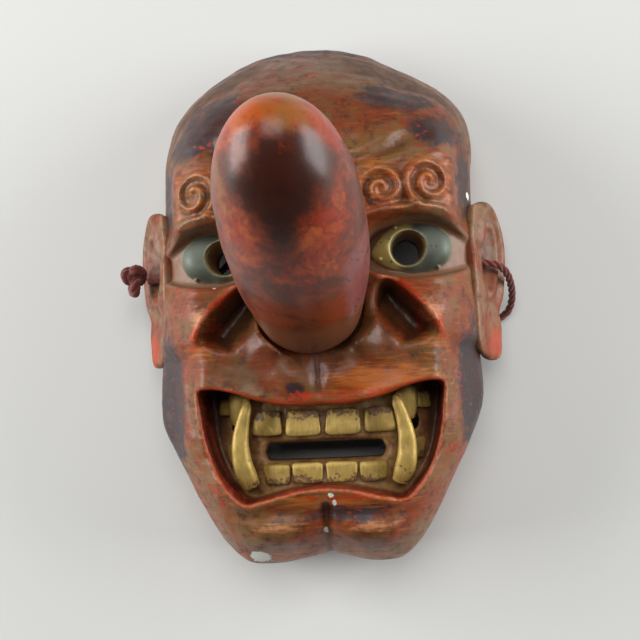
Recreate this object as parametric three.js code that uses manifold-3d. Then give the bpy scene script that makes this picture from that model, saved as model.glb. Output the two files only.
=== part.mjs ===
// A long-nosed carved wooden mask (tengu type) lying face up, in millimetres.
// +Z comes out of the face, +Y points to the top of the head, +X is the viewer's right.
// The origin is the middle of the mask's own box, on the plane that the back rim rests on.
import * as THREE from "three";
import { ParametricGeometry } from "three/addons/geometries/ParametricGeometry.js";
import { mergeVertices } from "three/addons/utils/BufferGeometryUtils.js";
import Module from "manifold-3d";

const wasm = await Module();
wasm.setup();

// ---------------------------------------------------------------- driving dimensions
const GAP = 0.35; // between pieces that lie against each other
const WALL = 8; // thickness of the rim and side walls
const RIM_ARCH = 6.5; // how far the sides of the rim rise clear of the table
const RIM_ARCH_HALF = 40; // the arch runs this far up and down from the ears
const TOP_Y = 105.5; // top of the head, and minus this is the chin
const MORTISE_DEPTH = 40; // long enough to run right through the face behind the nose
const ABOVE = 90; // higher than anything but the nose, for cutters that open upwards

// The outline's right half, from the top of the head round to the middle of the chin.
const OUTLINE = [
  [0, TOP_Y], [22, 102], [40, 92], [53, 82], [60.5, 70], [63, 55], [62.5, 40], [62, 22], [61.2, 3],
  [61.8, -15], [64.2, -33], [64, -46], [59, -60], [51, -75.5], [44.3, -88], [37.5, -98],
  [29.5, -104.3], [19, -TOP_Y], [9, -103.8], [0, -102.3],
];
// The carver's outline isn't quite even: it leans to one side at the jaw, the temples and the crown.
const LEAN = { jaw: -2.4, temple: 1.4, crown: -2.6 };

// The nose: a turned block that plugs into a seat square to its axis.
const NOSE_LEAN = THREE.MathUtils.degToRad(24); // from straight out towards the forehead
const NOSE_SEAT = new THREE.Vector3(-2, -11.5, 55);
const NOSE_LENGTH = 104;
const NOSE_BASE_R = 18;
const NOSE_BELLY = { r: 23.5, at: 38, below: 1.6, above: 3 }; // widest radius, where, and the curves to it
const NOSE_BORE_R = 12; // hollowed from behind so that the block doesn't split
const NOSE_BORE_DEPTH = 60;
const SEAT_GAP = 0.8; // all round the nose, where it enters the face
const PLUG_LENGTH = 16; // the tenon's round end, inside the nose
const TENON_SIDE = 16.4; // the tenon's square end, inside the face
const TENON_LENGTH = 11;

// The eyes: domed metal plates over carved eyeballs, each with a hole to see through.
// A brow's lower edge and a cheek's upper edge, with the eye between them.
const SOCKET = [
  [15.5, 9], [20, 17.5], [27, 21], [37, 22.3], [48, 21.6], [58, 18], [66, 14], [66, 6],
  [57, 1.6], [47, -0.4], [37, -1], [28, -0.2], [20, 2.4],
];
const SOCKET_FLOOR = { z: 46.5, x: 34, bend: 0.02 }; // falls away from x as bend times the distance squared
const EYE = { x: 36.3, y: 11.6, rx: 15.4, ry: 10.3, floor: 43.6, dome: 7.6, plate: 1.2 };
const PUPIL = { x: 34.4, y: 11.2, frontR: 6.3, backR: 5.1, plateR: 6.5 };

// The mouth's outline, right half, from the middle of the upper lip to the middle of the lower.
const MOUTH = [
  [0, -44.8], [12, -44.6], [22, -42.5], [30, -39.7], [38, -38], [44, -38.8], [43.8, -46],
  [42.4, -56], [39.2, -66], [34, -74], [28.5, -78.6], [22, -77.6], [11, -74.8], [0, -73.6],
];
const JAW_TOP = 46.5; // height of the gums on the midline
const JAW_CURVE = 118; // gums fall away as x squared over this
const SLIT = [[-21.5, -65.2], [21.5, -65.2], [23, -62], [21.5, -58.8], [-21.5, -58.8], [-23, -62]];
const SIDE_GAP = { x: 33.3, y: -52.5, w: 4.6, h: 7 };

// Teeth: middle x, middle y, width, height. Each jaw's row is listed for the right half.
const UPPER_INCISORS = [[7.4, -51.6, 12.6, 9.2], [20.9, -51.4, 11.6, 8.8]];
const LOWER_INCISORS = [[6.2, -69.4, 10.8, 7.2], [17.8, -69.8, 10.2, 7]];
const MOLARS = { upper: [37.6, -44.6, 5.4, 6], lower: [34.6, -62.4, 5.2, 7.4] };
const TOOTH_DEPTH = 4.2;

// The ears: plates whose front edge is against the wall and whose back edge flares out.
const EAR = { rootX: 61, rootZ: 33, flare: THREE.MathUtils.degToRad(28), thick: 6.5 };
const LEFT_EAR_LIFT = 3; // the left ear sits this much higher
// An ear's outline: how far out along the plate, and y.
const EAR_OUTLINE = [
  [-3, 25], [5, 33.5], [15, 35], [24, 29], [28.5, 18], [28, 7], [24, -4], [20.5, -12],
  [22, -18], [22.3, -25], [16, -30.5], [6, -29.5], [-3, -20],
];
const EAR_BOWL = { x: 71.5, y: 12, z: 24.5, rx: 4.5, ry: 12, rz: 7 };
const EAR_PEG = { r: 1.5, length: 11, x: 62, ys: [24, -22], z: 21.5 };

// The cord: one end knotted in front of the left ear, the other tied to itself in the hollow.
const CORD_R = 1.6;
const HOLE = { y: 8, z: 24, r: 3.1 }; // for the cord, through the side wall and the ear
const CORD_LIES = CORD_R + 0.4; // height of the cord's middle where it lies on the table
const CORD_ROUTE = [
  [-70.4, 8.2, 24], [-66, 8, 24], [-60, 8, 24], [-54, 8, 24], [-47.4, 8.3, 23.6], [-43.8, 9.8, 19.5],
  [-42.2, 12.5, 10.5], [-39.5, 17.5, 4], [-32, 28, CORD_LIES], [-16, 40.5, CORD_LIES],
  [3, 44, CORD_LIES], [19, 36, CORD_LIES], [24, 21, CORD_LIES], [17, 7, CORD_LIES],
  [3, 1, CORD_LIES], [-12, 0, CORD_LIES], [-22, -10, CORD_LIES], [-20, -26, CORD_LIES],
  [-6, -35, CORD_LIES], [10, -30, CORD_LIES], [22, -17, CORD_LIES], [31, -3, CORD_LIES],
  [37.5, 3.5, 4.6], [41.8, 6.8, 11.5], [43.9, 7.8, 19.5], [47.4, 8, 23.6], [54, 8, 24], [60, 8, 24],
  [66, 7.8, 24], [71.5, 6.6, 23], [75.2, 3.6, 19], [77.6, -1, 13], [78.4, -6.2, 7],
  [76.6, -10.8, 3], [71, -13.8, CORD_LIES], [64, -14.6, CORD_LIES], [56, -14.6, CORD_LIES],
  [48, -15.4, CORD_LIES],
];
const KNOT = { x: -76.4, y: 8.6, z: 24, r: 6.6 };
const TIE_KNOT = { x: 42.6, y: -15.6, r: 4.6 };

// ---------------------------------------------------------------- numbers and curves
const step = THREE.MathUtils.smoothstep;
const hill = (dx, dy, rx, ry) => Math.exp(-((dx / rx) ** 2) - (dy / ry) ** 2);

// A closed curve through half an outline and its mirror image.
function mirrored(half) {
  const back = half.slice(1, -1).reverse().map(([x, y]) => [-x, y]);
  const points = [...half, ...back].map(([x, y]) => new THREE.Vector3(x, y, 0));
  return new THREE.CatmullRomCurve3(points, true, "centripetal");
}

// A smooth line through [at, value] pairs in falling order of at.
function along(pairs) {
  const curve = new THREE.SplineCurve(pairs.map(([at, value]) => new THREE.Vector2(at, value)));
  const samples = curve.getPoints(12 * pairs.length);
  return (at) => {
    const i = samples.findIndex((p) => p.x <= at);
    if (i < 0) return samples[samples.length - 1].y;
    if (i === 0) return samples[0].y;
    const a = samples[i - 1];
    const b = samples[i];
    return a.y + ((b.y - a.y) * (a.x - at)) / (a.x - b.x);
  };
}

// The outline of the face, from the top of the head, with the carver's lean.
const evenOutline = mirrored(OUTLINE);
const outline = new THREE.Curve();
outline.getPoint = (t, target = new THREE.Vector3()) => {
  evenOutline.getPoint(t, target);
  const side = step(Math.abs(target.x), 4, 24);
  const lean =
    LEAN.jaw * (1 - step(target.y, -80, 50)) + LEAN.temple * hill(0, target.y - 65, 1, 16) +
    LEAN.crown * step(target.y, 78, 100);
  target.x += side * lean;
  return target;
};

// ---------------------------------------------------------------- relief of the face
const midHeight = along([
  [106, 34], [90, 47], [75, 55], [60, 59], [45, 61], [30, 60], [10, 57], [-10, 58], [-30, 61],
  [-45, 60], [-60, 58], [-78, 58], [-90, 56], [-106, 50],
]);
const edgeHeight = along([
  [106, 14], [80, 18], [50, 26], [20, 30], [-15, 34], [-45, 32], [-70, 29], [-95, 30], [-106, 32],
]);

// The height of the carved front over the rim's plane. share is 0 in the middle and 1 at the outline.
function relief(x, y, share) {
  const ax = Math.abs(x);
  const fall = share ** (5 + 5 * step(-y, 40, 95));
  let z = midHeight(y) * (1 - fall) + edgeHeight(y) * fall;
  z += 4 * step(y, 12, 22) * (1 - step(y, 40, 50)) * (1 - step(ax, 50, 62)); // brow
  z += 5 * hill(ax - 44, y + 12, 14, 13); // cheek
  z += 5 * hill(ax - 16.5, y + 20, 7, 7); // nostril
  z += 3 * hill(x, y + 36, 38, 9); // upper lip
  z += 4 * hill(ax - 17, y + 89, 13, 9); // chin pads
  z -= 5 * hill(ax - 53, y + 38, 8, 9); // hollow under the cheek
  z -= 4 * Math.exp(-((x / 2.5) ** 2)) * step(-y, 78, 82); // cleft of the chin
  const slant = 0.55 * (ax - 30) - 0.83 * (y + 10);
  const across = 0.83 * (ax - 30) + 0.55 * (y + 10);
  z -= 13 * Math.exp(-((slant / 15) ** 2) - (across / 6) ** 2); // pit beside the nose
  return z;
}

// The height of the rim, which arches beside the ears.
const rimHeight = (y) => RIM_ARCH * Math.cos((Math.PI / 2) * Math.min(1, Math.abs(y) / RIM_ARCH_HALF)) ** 2;

// The roof of the hollow that the wearer's face goes into.
const roofHeight = along([
  [98, 20], [85, 36], [70, 45], [50, 48], [30, 45], [10, 39], [-10, 38], [-30, 38], [-45, 38],
  [-60, 37], [-80, 38], [-90, 35], [-98, 24],
]);
function hollow(x, y, share) {
  const fall = share ** 4;
  return (roofHeight(y) - 0.004 * x * x) * (1 - fall) + 0.55 * edgeHeight(y) * fall;
}

// ---------------------------------------------------------------- solids
// A closed geometry as a manifold-3d solid, once its shared vertices are merged.
function solid(geometry) {
  const g = geometry.index ? geometry.toNonIndexed() : geometry.clone();
  const bare = new THREE.BufferGeometry().setAttribute("position", g.getAttribute("position"));
  const merged = mergeVertices(bare, 1e-3);
  const t = merged.index.array;
  const triangles = [];
  for (let i = 0; i < t.length; i += 3) {
    const [a, b, c] = [t[i], t[i + 1], t[i + 2]];
    if (a !== b && b !== c && a !== c) triangles.push(a, b, c);
  }
  const vertProperties = merged.attributes.position.array;
  const triVerts = new Uint32Array(triangles);
  return new wasm.Manifold(new wasm.Mesh({ numProp: 3, vertProperties, triVerts }));
}

// A manifold-3d solid as a three.js geometry.
function geometry(made) {
  const m = made.getMesh();
  const v = new Float32Array(m.numVert * 3);
  for (let i = 0; i < m.numVert; i++) {
    v.set(m.vertProperties.subarray(i * m.numProp, i * m.numProp + 3), i * 3);
  }
  const g = new THREE.BufferGeometry().setAttribute("position", new THREE.BufferAttribute(v, 3));
  g.setIndex(new THREE.BufferAttribute(new Uint32Array(m.triVerts), 1));
  g.computeVertexNormals();
  return g;
}

// A prism of an XY outline from z0 to z1.
function prism(points, z0, z1) {
  const shape = new THREE.Shape(points.map(([x, y]) => new THREE.Vector2(x, y)));
  return new THREE.ExtrudeGeometry(shape, { depth: z1 - z0, bevelEnabled: false }).translate(0, 0, z0);
}

// n points of a smooth closed curve through points.
const loop = (points, n) =>
  new THREE.CatmullRomCurve3(points.map(([x, y]) => new THREE.Vector3(x, y, 0)), true, "centripetal")
    .getPoints(n).slice(0, -1).map((p) => [p.x, p.y]);

const ellipse = (x, y, rx, ry, n = 32) =>
  Array.from({ length: n }, (_, i) => {
    const a = (2 * Math.PI * i) / n;
    return [x + rx * Math.cos(a), y + ry * Math.sin(a)];
  });

// A rod along X through a point.
const rod = (r, length, x, y, z) =>
  new THREE.CylinderGeometry(r, r, length, 12).rotateZ(Math.PI / 2).translate(x, y, z);

const mirrorX = (g) => {
  const m = g.clone().applyMatrix4(new THREE.Matrix4().makeScale(-1, 1, 1));
  const index = m.index ? m.index.array : null;
  const n = index ? index.length : m.attributes.position.count;
  if (!index) m.setIndex(Array.from({ length: n }, (_, i) => i));
  const t = m.index.array;
  for (let i = 0; i < n; i += 3) [t[i + 1], t[i + 2]] = [t[i + 2], t[i + 1]];
  return m;
};

// The nose's radius at a height over its seat: widest at the belly and round at the tip.
function noseRadius(height) {
  const { r, at, below, above } = NOSE_BELLY;
  if (height < at) return r - (r - NOSE_BASE_R) * ((at - height) / at) ** below;
  return r * Math.sqrt(1 - Math.min(1, (height - at) / (NOSE_LENGTH - at)) ** above);
}

// Puts a geometry made with its axis along +Z from the nose's seat onto the nose's axis.
const onNoseAxis = (g) => g.rotateX(-NOSE_LEAN).translate(...NOSE_SEAT.toArray());

// ---------------------------------------------------------------- the face shell
const AROUND = 72;
const OUTER_RINGS = 22;
const INNER_RINGS = 9;

function shellBlank() {
  // Each ring says how to place the point that belongs to a point of the outline.
  const rings = [];
  for (let i = 0; i <= OUTER_RINGS; i++) {
    const share = (i / OUTER_RINGS) ** 0.85;
    rings.push((p) => [p.x * share, p.y * share, relief(p.x * share, p.y * share, share)]);
  }
  for (const part of [0.66, 0.33]) {
    rings.push((p) => [p.x, p.y, rimHeight(p.y) * (1 - part) + edgeHeight(p.y) * part]);
  }
  rings.push((p) => [p.x, p.y, rimHeight(p.y)]);
  const inward = (p) => 1 - WALL / Math.hypot(p.x, p.y);
  for (let i = 0; i <= INNER_RINGS; i++) {
    const part = 1 - i / INNER_RINGS;
    rings.push((p) => {
      const k = inward(p) * part;
      const z = i === 0 ? rimHeight(p.y) : hollow(p.x * k, p.y * k, part);
      return [p.x * k, p.y * k, z];
    });
  }
  const place = (u, v, target) => {
    const p = outline.getPoint((Math.round(u * AROUND) % AROUND) / AROUND);
    target.set(...rings[Math.round(v * (rings.length - 1))](p));
  };
  return solid(new ParametricGeometry(place, AROUND, rings.length - 1));
}

// The height and slope of the gums.
const jawHeight = (x) => JAW_TOP - x ** 2 / JAW_CURVE;
const jawSlope = (x) => Math.atan((2 * x) / JAW_CURVE);

// Everything that is cut out of the mouth: the recess down to the gums and the gaps between the teeth.
function mouthCutters() {
  const lips = mirrored(MOUTH).getPoints(64).slice(0, -1).map((p) => [p.x, p.y]);
  const recess = solid(prism(lips, 0, ABOVE));
  const half = 50;
  const gums = [[-half, ABOVE], [half, ABOVE]];
  for (let x = half; x >= -half; x -= 5) gums.push([x, jawHeight(x)]);
  const top = MOUTH[0][1] + 15;
  const above = prism(gums, 0, 60).rotateX(Math.PI / 2).translate(0, top, 0);
  const slit = solid(prism(SLIT, 0, ABOVE));
  const side = ellipse(SIDE_GAP.x, SIDE_GAP.y, SIDE_GAP.w / 2, SIDE_GAP.h / 2, 10);
  const right = prism(side, 0, ABOVE);
  return [recess.intersect(solid(above)), slit, solid(right), solid(mirrorX(right))];
}

// The recess between brow and cheek: everything above a floor that falls away outwards.
function socket() {
  const { z, x: middle, bend } = SOCKET_FLOOR;
  const far = 90;
  const across = [[far, ABOVE], [0, ABOVE]];
  for (let x = 0; x <= far; x += 6) across.push([x, z - bend * (x - middle) ** 2]);
  const above = prism(across, -60, 0).rotateX(Math.PI / 2).translate(0, -30, 0);
  return geometry(solid(prism(loop(SOCKET, 40), 20, ABOVE)).intersect(solid(above)));
}

// A tapered hole to see through, its wide end in front.
function pupilHole() {
  const { backR, frontR } = PUPIL;
  const [low, high] = [EYE.floor - 4, EYE.floor + 6];
  const profile = [[0, 0], [backR, 0], [backR, low], [frontR, high], [frontR, ABOVE], [0, ABOVE]];
  const lathe = new THREE.LatheGeometry(profile.map(([r, z]) => new THREE.Vector2(r, z)), 24);
  return lathe.rotateX(Math.PI / 2).translate(PUPIL.x, PUPIL.y, 0);
}

// The part of an ellipsoid that stands over a floor. less shrinks it all round.
function eyeball(less, floor = 0) {
  const ball = new THREE.SphereGeometry(1, 24, 12).scale(EYE.rx - less, EYE.ry - less, EYE.dome - less);
  const over = prism(ellipse(0, 0, 2 * EYE.rx, 2 * EYE.rx, 12), floor, 2 * EYE.dome);
  return solid(ball).intersect(solid(over));
}

function faceShell() {
  let shell = shellBlank();
  for (const cutter of mouthCutters()) shell = shell.subtract(cutter);
  const pocket = prism(ellipse(EYE.x, EYE.y, EYE.rx + GAP, EYE.ry + GAP), EYE.floor, ABOVE);
  const boss = geometry(eyeball(EYE.plate + GAP)).translate(EYE.x, EYE.y, EYE.floor - 0.2);
  const hole = pupilHole();
  for (const side of [(g) => g, mirrorX]) {
    shell = shell.subtract(solid(side(socket())));
    shell = shell.subtract(solid(side(pocket))).add(solid(side(boss))).subtract(solid(side(hole)));
  }
  const side = TENON_SIDE + 2 * GAP;
  const mortise = new THREE.BoxGeometry(side, side, 2 * MORTISE_DEPTH);
  shell = shell.subtract(solid(noseSeat())).subtract(solid(onNoseAxis(mortise)));
  for (const sign of [1, -1]) {
    shell = shell.subtract(solid(rod(HOLE.r, 30, sign * 58, HOLE.y, HOLE.z)));
    for (const hole of pegHoles(sign)) shell = shell.subtract(hole);
  }
  return geometry(shell);
}

// The recess that the nose stands in: it follows the nose up to the belly, then opens straight out.
function noseSeat() {
  const points = [new THREE.Vector2(0, 0)];
  for (let height = 0; height <= NOSE_BELLY.at; height += NOSE_BELLY.at / 6) {
    points.push(new THREE.Vector2(noseRadius(height) + SEAT_GAP, height));
  }
  points.push(new THREE.Vector2(NOSE_BELLY.r + SEAT_GAP, ABOVE), new THREE.Vector2(0, ABOVE));
  return onNoseAxis(new THREE.LatheGeometry(points, 40).rotateX(Math.PI / 2));
}

const pegHoles = (sign) =>
  EAR_PEG.ys.map((y) => solid(rod(EAR_PEG.r + 0.15, EAR_PEG.length + 1, sign * EAR_PEG.x, y, EAR_PEG.z)));

// ---------------------------------------------------------------- the nose and its tenon
function nose() {
  const points = [
    new THREE.Vector2(NOSE_BORE_R, GAP), new THREE.Vector2(NOSE_BASE_R - 1.2, GAP),
    new THREE.Vector2(NOSE_BASE_R, 1.5),
  ];
  for (let i = 1; i <= 18; i++) {
    const height = NOSE_LENGTH * Math.sin((Math.PI / 2) * (i / 18));
    points.push(new THREE.Vector2(noseRadius(height), height));
  }
  points.push(
    new THREE.Vector2(0, NOSE_BORE_DEPTH + 5), new THREE.Vector2(NOSE_BORE_R * 0.75, NOSE_BORE_DEPTH),
    new THREE.Vector2(NOSE_BORE_R, NOSE_BORE_DEPTH - 8), new THREE.Vector2(NOSE_BORE_R, GAP),
  );
  return onNoseAxis(new THREE.LatheGeometry(points, 28).rotateX(Math.PI / 2));
}

function noseTenon() {
  const r = NOSE_BORE_R - GAP;
  const round = new THREE.CylinderGeometry(r, r, PLUG_LENGTH, 28).rotateX(Math.PI / 2);
  const square = new THREE.BoxGeometry(TENON_SIDE, TENON_SIDE, TENON_LENGTH + 0.5);
  const plug = solid(round.translate(0, 0, PLUG_LENGTH / 2 + GAP));
  return onNoseAxis(geometry(plug.add(solid(square.translate(0, 0, 0.5 - TENON_LENGTH / 2)))));
}

// ---------------------------------------------------------------- eyes and teeth
function eyePlate() {
  const cap = eyeball(0).subtract(eyeball(EYE.plate, -2));
  const hole = new THREE.CylinderGeometry(PUPIL.plateR, PUPIL.plateR, 30, 24).rotateX(Math.PI / 2);
  const made = cap.subtract(solid(hole.translate(PUPIL.x - EYE.x, PUPIL.y - EYE.y, 0)));
  return geometry(made).translate(EYE.x, EYE.y, EYE.floor + 0.15);
}

// A tooth is a block with rounded edges, set square to the curve of the jaw.
function tooth([x, y, width, height]) {
  const r = Math.min(1.6, width / 4);
  const [w, h] = [width / 2, height / 2];
  const shape = new THREE.Shape();
  shape.moveTo(-w + r, -h).lineTo(w - r, -h).quadraticCurveTo(w, -h, w, -h + r);
  shape.lineTo(w, h - r).quadraticCurveTo(w, h, w - r, h).lineTo(-w + r, h);
  shape.quadraticCurveTo(-w, h, -w, h - r).lineTo(-w, -h + r).quadraticCurveTo(-w, -h, -w + r, -h);
  const bevel = { bevelSize: 0.7, bevelOffset: -0.7, bevelThickness: 0.9, bevelSegments: 1 };
  const depth = TOOTH_DEPTH - 1.8;
  const block = new THREE.ExtrudeGeometry(shape, { depth, curveSegments: 2, ...bevel }).translate(0, 0, 0.9);
  const lift = GAP + 0.3 + width ** 2 / 8 / JAW_CURVE; // so that its ends clear the curve
  return block.rotateY(jawSlope(x)).translate(x, y, jawHeight(x) + lift);
}

// A fang is a cone bent along a curve: its root, the middle of its bow and its tip.
function fang(route, rootR) {
  const curve = new THREE.QuadraticBezierCurve3(...route.map((p) => new THREE.Vector3(...p)));
  const [rows, sides] = [9, 10];
  const front = new THREE.Vector3(0, 0, 1);
  const place = (u, v, target) => {
    const row = Math.round(v * (rows + 2));
    const t = THREE.MathUtils.clamp((row - 1) / rows, 0, 1);
    const ends = row === 0 || row === rows + 2;
    const r = ends ? 0 : rootR * (1 - 0.86 * t ** 1.5);
    const a = (2 * Math.PI * (Math.round(u * sides) % sides)) / sides;
    const tangent = curve.getTangent(t);
    const across = new THREE.Vector3().crossVectors(front, tangent).normalize();
    const out = new THREE.Vector3().crossVectors(tangent, across).normalize();
    target.copy(curve.getPoint(t));
    target.addScaledVector(across, r * Math.cos(a)).addScaledVector(out, r * 0.8 * Math.sin(a));
  };
  return geometry(solid(new ParametricGeometry(place, sides, rows + 2)));
}

const LOWER_FANG = [[27.6, -72.6, 47], [32, -58, 51.3], [26.4, -42.5, 52.6]];
const UPPER_FANG = [[30.8, -40.8, 43.6], [33.4, -49, 44.6], [28.9, -57, 44]];

// ---------------------------------------------------------------- ears
// sign is 1 for the right ear and -1 for the left.
function ear(sign) {
  const flip = sign > 0 ? (g) => g : mirrorX;
  const plate = prism(loop(EAR_OUTLINE, 44), -EAR.thick / 2, EAR.thick / 2);
  plate.rotateY(Math.PI / 2 - EAR.flare).translate(EAR.rootX, sign > 0 ? 0 : LEFT_EAR_LIFT, EAR.rootZ);
  const wall = outline.getPoints(160).slice(0, -1).map((p) => [p.x * 1.006, p.y * 1.006]);
  const { x, y, z, rx, ry, rz } = EAR_BOWL;
  const bowl = new THREE.SphereGeometry(1, 16, 8).scale(rx, ry, rz).rotateY(-EAR.flare).translate(x, y, z);
  let made = solid(flip(plate)).subtract(solid(prism(wall, -10, ABOVE))).subtract(solid(flip(bowl)));
  made = made.subtract(solid(rod(HOLE.r, 40, sign * 70, HOLE.y, HOLE.z)));
  for (const hole of pegHoles(sign)) made = made.subtract(hole);
  const pieces = made.decompose().sort((a, b) => b.volume() - a.volume());
  return geometry(pieces[0]);
}

// ---------------------------------------------------------------- the cord
function cordTube() {
  const section = new THREE.Shape(ellipse(0, 0, CORD_R, CORD_R, 8).map(([x, y]) => new THREE.Vector2(x, y)));
  const route = CORD_ROUTE.map((p) => new THREE.Vector3(...p));
  const extrudePath = new THREE.CatmullRomCurve3(route, false, "centripetal");
  return new THREE.ExtrudeGeometry(section, { steps: 70, extrudePath, bevelEnabled: false });
}

// ---------------------------------------------------------------- materials and assembly
const finish = (color, roughness, metalness = 0) =>
  new THREE.MeshStandardMaterial({ color, roughness, metalness });
const LACQUER = finish(0x8a4a30, 0.45);
const NOSE_LACQUER = finish(0x7d3416, 0.3);
const BRASS = finish(0x8f8a5c, 0.4, 0.6);
const GILT = finish(0x9a8340, 0.4, 0.7);
const BARE_WOOD = finish(0xa9835a, 0.7);
const BAMBOO = finish(0xb99a63, 0.6);
const CORD_RED = finish(0x6b1d12, 0.8);

const mask = new THREE.Group();
function add(name, shape, material) {
  const mesh = new THREE.Mesh(shape, material);
  mesh.name = name;
  mask.add(mesh);
}

// Adds a right-hand piece and its mirror image.
function addPair(name, shape, material) {
  add(`${name}_right`, shape, material);
  add(`${name}_left`, mirrorX(shape), material);
}

add("face_shell", faceShell(), LACQUER);
add("nose", nose(), NOSE_LACQUER);
add("nose_tenon", noseTenon(), BARE_WOOD);
add("ear_right", ear(1), LACQUER);
add("ear_left", ear(-1), LACQUER);
addPair("eye_plate", eyePlate(), BRASS);
UPPER_INCISORS.forEach((size, i) => addPair(`upper_incisor_${i + 1}`, tooth(size), GILT));
LOWER_INCISORS.forEach((size, i) => addPair(`lower_incisor_${i + 1}`, tooth(size), GILT));
addPair("upper_fang", fang(UPPER_FANG, 3.1), GILT);
addPair("lower_fang", fang(LOWER_FANG, 3.9), GILT);
addPair("upper_molar", tooth(MOLARS.upper), GILT);
addPair("lower_molar", tooth(MOLARS.lower), GILT);
EAR_PEG.ys.forEach((y, i) => {
  addPair(`ear_peg_${i + 1}`, rod(EAR_PEG.r, EAR_PEG.length, EAR_PEG.x, y, EAR_PEG.z), BAMBOO);
});
add("cord", cordTube(), CORD_RED);
const stop = new THREE.SphereGeometry(KNOT.r, 14, 10).scale(0.85, 1.15, 1);
add("cord_stop_knot", stop.translate(KNOT.x, KNOT.y, KNOT.z), CORD_RED);
const flat = 0.8; // the tie knot lies on the table
const tie = new THREE.SphereGeometry(TIE_KNOT.r, 14, 10).scale(1.1, 1, flat);
add("cord_tie_knot", tie.translate(TIE_KNOT.x, TIE_KNOT.y, TIE_KNOT.r * flat + 0.1), CORD_RED);

export default mask;
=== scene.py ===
"""The looks of a long-nosed lacquered mask that lies face up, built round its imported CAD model."""

import math

import bpy
import numpy as np
import openvdb
from mathutils import Matrix, Vector


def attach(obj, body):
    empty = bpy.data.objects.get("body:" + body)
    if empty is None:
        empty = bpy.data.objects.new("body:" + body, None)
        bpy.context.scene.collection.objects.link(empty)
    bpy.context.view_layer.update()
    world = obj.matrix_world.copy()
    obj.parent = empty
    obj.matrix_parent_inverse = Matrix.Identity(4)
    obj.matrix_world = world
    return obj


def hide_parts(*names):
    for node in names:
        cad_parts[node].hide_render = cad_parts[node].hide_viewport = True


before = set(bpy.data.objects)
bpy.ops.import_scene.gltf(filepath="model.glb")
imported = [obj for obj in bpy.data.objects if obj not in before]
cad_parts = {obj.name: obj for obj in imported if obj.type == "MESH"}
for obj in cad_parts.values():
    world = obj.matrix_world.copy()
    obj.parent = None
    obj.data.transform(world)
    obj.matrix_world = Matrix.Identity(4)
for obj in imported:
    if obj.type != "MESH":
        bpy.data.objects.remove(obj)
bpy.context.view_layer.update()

MM = 0.001
VOXEL = 0.85  # the side of one, in millimetres, as every length below is

# ---------------------------------------------------------------- the model's driving dimensions
TOP_Y = 105.5
WALL = 8
RIM_ARCH = 6.5
RIM_ARCH_HALF = 40
OUTLINE = [
    (0, TOP_Y), (22, 102), (40, 92), (53, 82), (60.5, 70), (63, 55), (62.5, 40), (62, 22), (61.2, 3),
    (61.8, -15), (64.2, -33), (64, -46), (59, -60), (51, -75.5), (44.3, -88), (37.5, -98),
    (29.5, -104.3), (19, -TOP_Y), (9, -103.8), (0, -102.3),
]
LEAN = dict(jaw=-2.4, temple=1.4, crown=-2.6)  # how far the outline leans sideways there
MOUTH = [
    (0, -44.8), (12, -44.6), (22, -42.5), (30, -39.7), (38, -38), (44, -38.8), (43.8, -46),
    (42.4, -56), (39.2, -66), (34, -74), (28.5, -78.6), (22, -77.6), (11, -74.8), (0, -73.6),
]
SOCKET = [
    (15.5, 9), (20, 17.5), (27, 21), (37, 22.3), (48, 21.6), (58, 18), (66, 14), (66, 6),
    (57, 1.6), (47, -0.4), (37, -1), (28, -0.2), (20, 2.4),
]
SLIT = [(-21.5, -65.2), (21.5, -65.2), (23, -62), (21.5, -58.8), (-21.5, -58.8), (-23, -62)]
SIDE_GAP = dict(x=33.3, y=-52.5, rx=2.3, ry=3.5)
JAW_TOP, JAW_CURVE = 46.5, 118
EYE = dict(x=36.3, y=11.6, rx=15.4, ry=10.3, floor=43.6, dome=7.6)
PUPIL = dict(x=34.4, y=11.2, front=6.3, back=5.1)
SHEET, TACK_R = 1.15, 0.85
NOSE_LEAN = math.radians(24)
NOSE_SEAT = np.array([-2, -11.5, 55])
NOSE_LENGTH, NOSE_BASE, NOSE_SIDES, NOSE_TIP_LEAN = 104, 18, 112, -1.3
SEAT_GAP, MORTISE_HALF = 0.8, 8.5
BELLY = dict(r=23.5, at=38, below=1.6, above=3)  # its widest radius, where, and the curves to it
NOSE_BORE, NOSE_BORE_DEPTH = 12, 60
EAR_ROOT_X, EAR_ROOT_Z, EAR_FLARE, EAR_THICK = 61, 33, math.radians(28), 6.5
LEFT_EAR_LIFT = 3
EAR_OUTLINE = [
    (-3, 23), (5, 31), (15, 32.4), (24, 27), (28.5, 17), (28, 7), (24, -4), (20.5, -12),
    (22, -18), (22.3, -25), (16, -30.5), (6, -29.5), (-3, -20),
]
HOLE = dict(y=8, z=24, r=3.1)
CORD_R = 1.6
CORD_LIES = CORD_R + 0.4
CORD_ROUTE = [
    (-70.4, 8.2, 24), (-66, 8, 24), (-60, 8, 24), (-54, 8, 24), (-47.4, 8.3, 23.6), (-43.8, 9.8, 19.5),
    (-42.2, 12.5, 10.5), (-39.5, 17.5, 4), (-32, 28, CORD_LIES), (-16, 40.5, CORD_LIES),
    (3, 44, CORD_LIES), (19, 36, CORD_LIES), (24, 21, CORD_LIES), (17, 7, CORD_LIES),
    (3, 1, CORD_LIES), (-12, 0, CORD_LIES), (-22, -10, CORD_LIES), (-20, -26, CORD_LIES),
    (-6, -35, CORD_LIES), (10, -30, CORD_LIES), (22, -17, CORD_LIES), (31, -3, CORD_LIES),
    (37.5, 3.5, 4.6), (41.8, 6.8, 11.5), (43.9, 7.8, 19.5), (47.4, 8, 23.6), (54, 8, 24), (60, 8, 24),
    (66, 7.8, 24), (71.5, 6.6, 23), (75.2, 3.6, 19), (77.6, -1, 13), (78.4, -6.2, 7),
    (76.6, -10.8, 3), (71, -13.8, CORD_LIES), (64, -14.6, CORD_LIES), (56, -14.6, CORD_LIES),
    (48, -15.4, CORD_LIES),
]
STOP_KNOT = np.array([-76.2, 9, 24])
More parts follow.
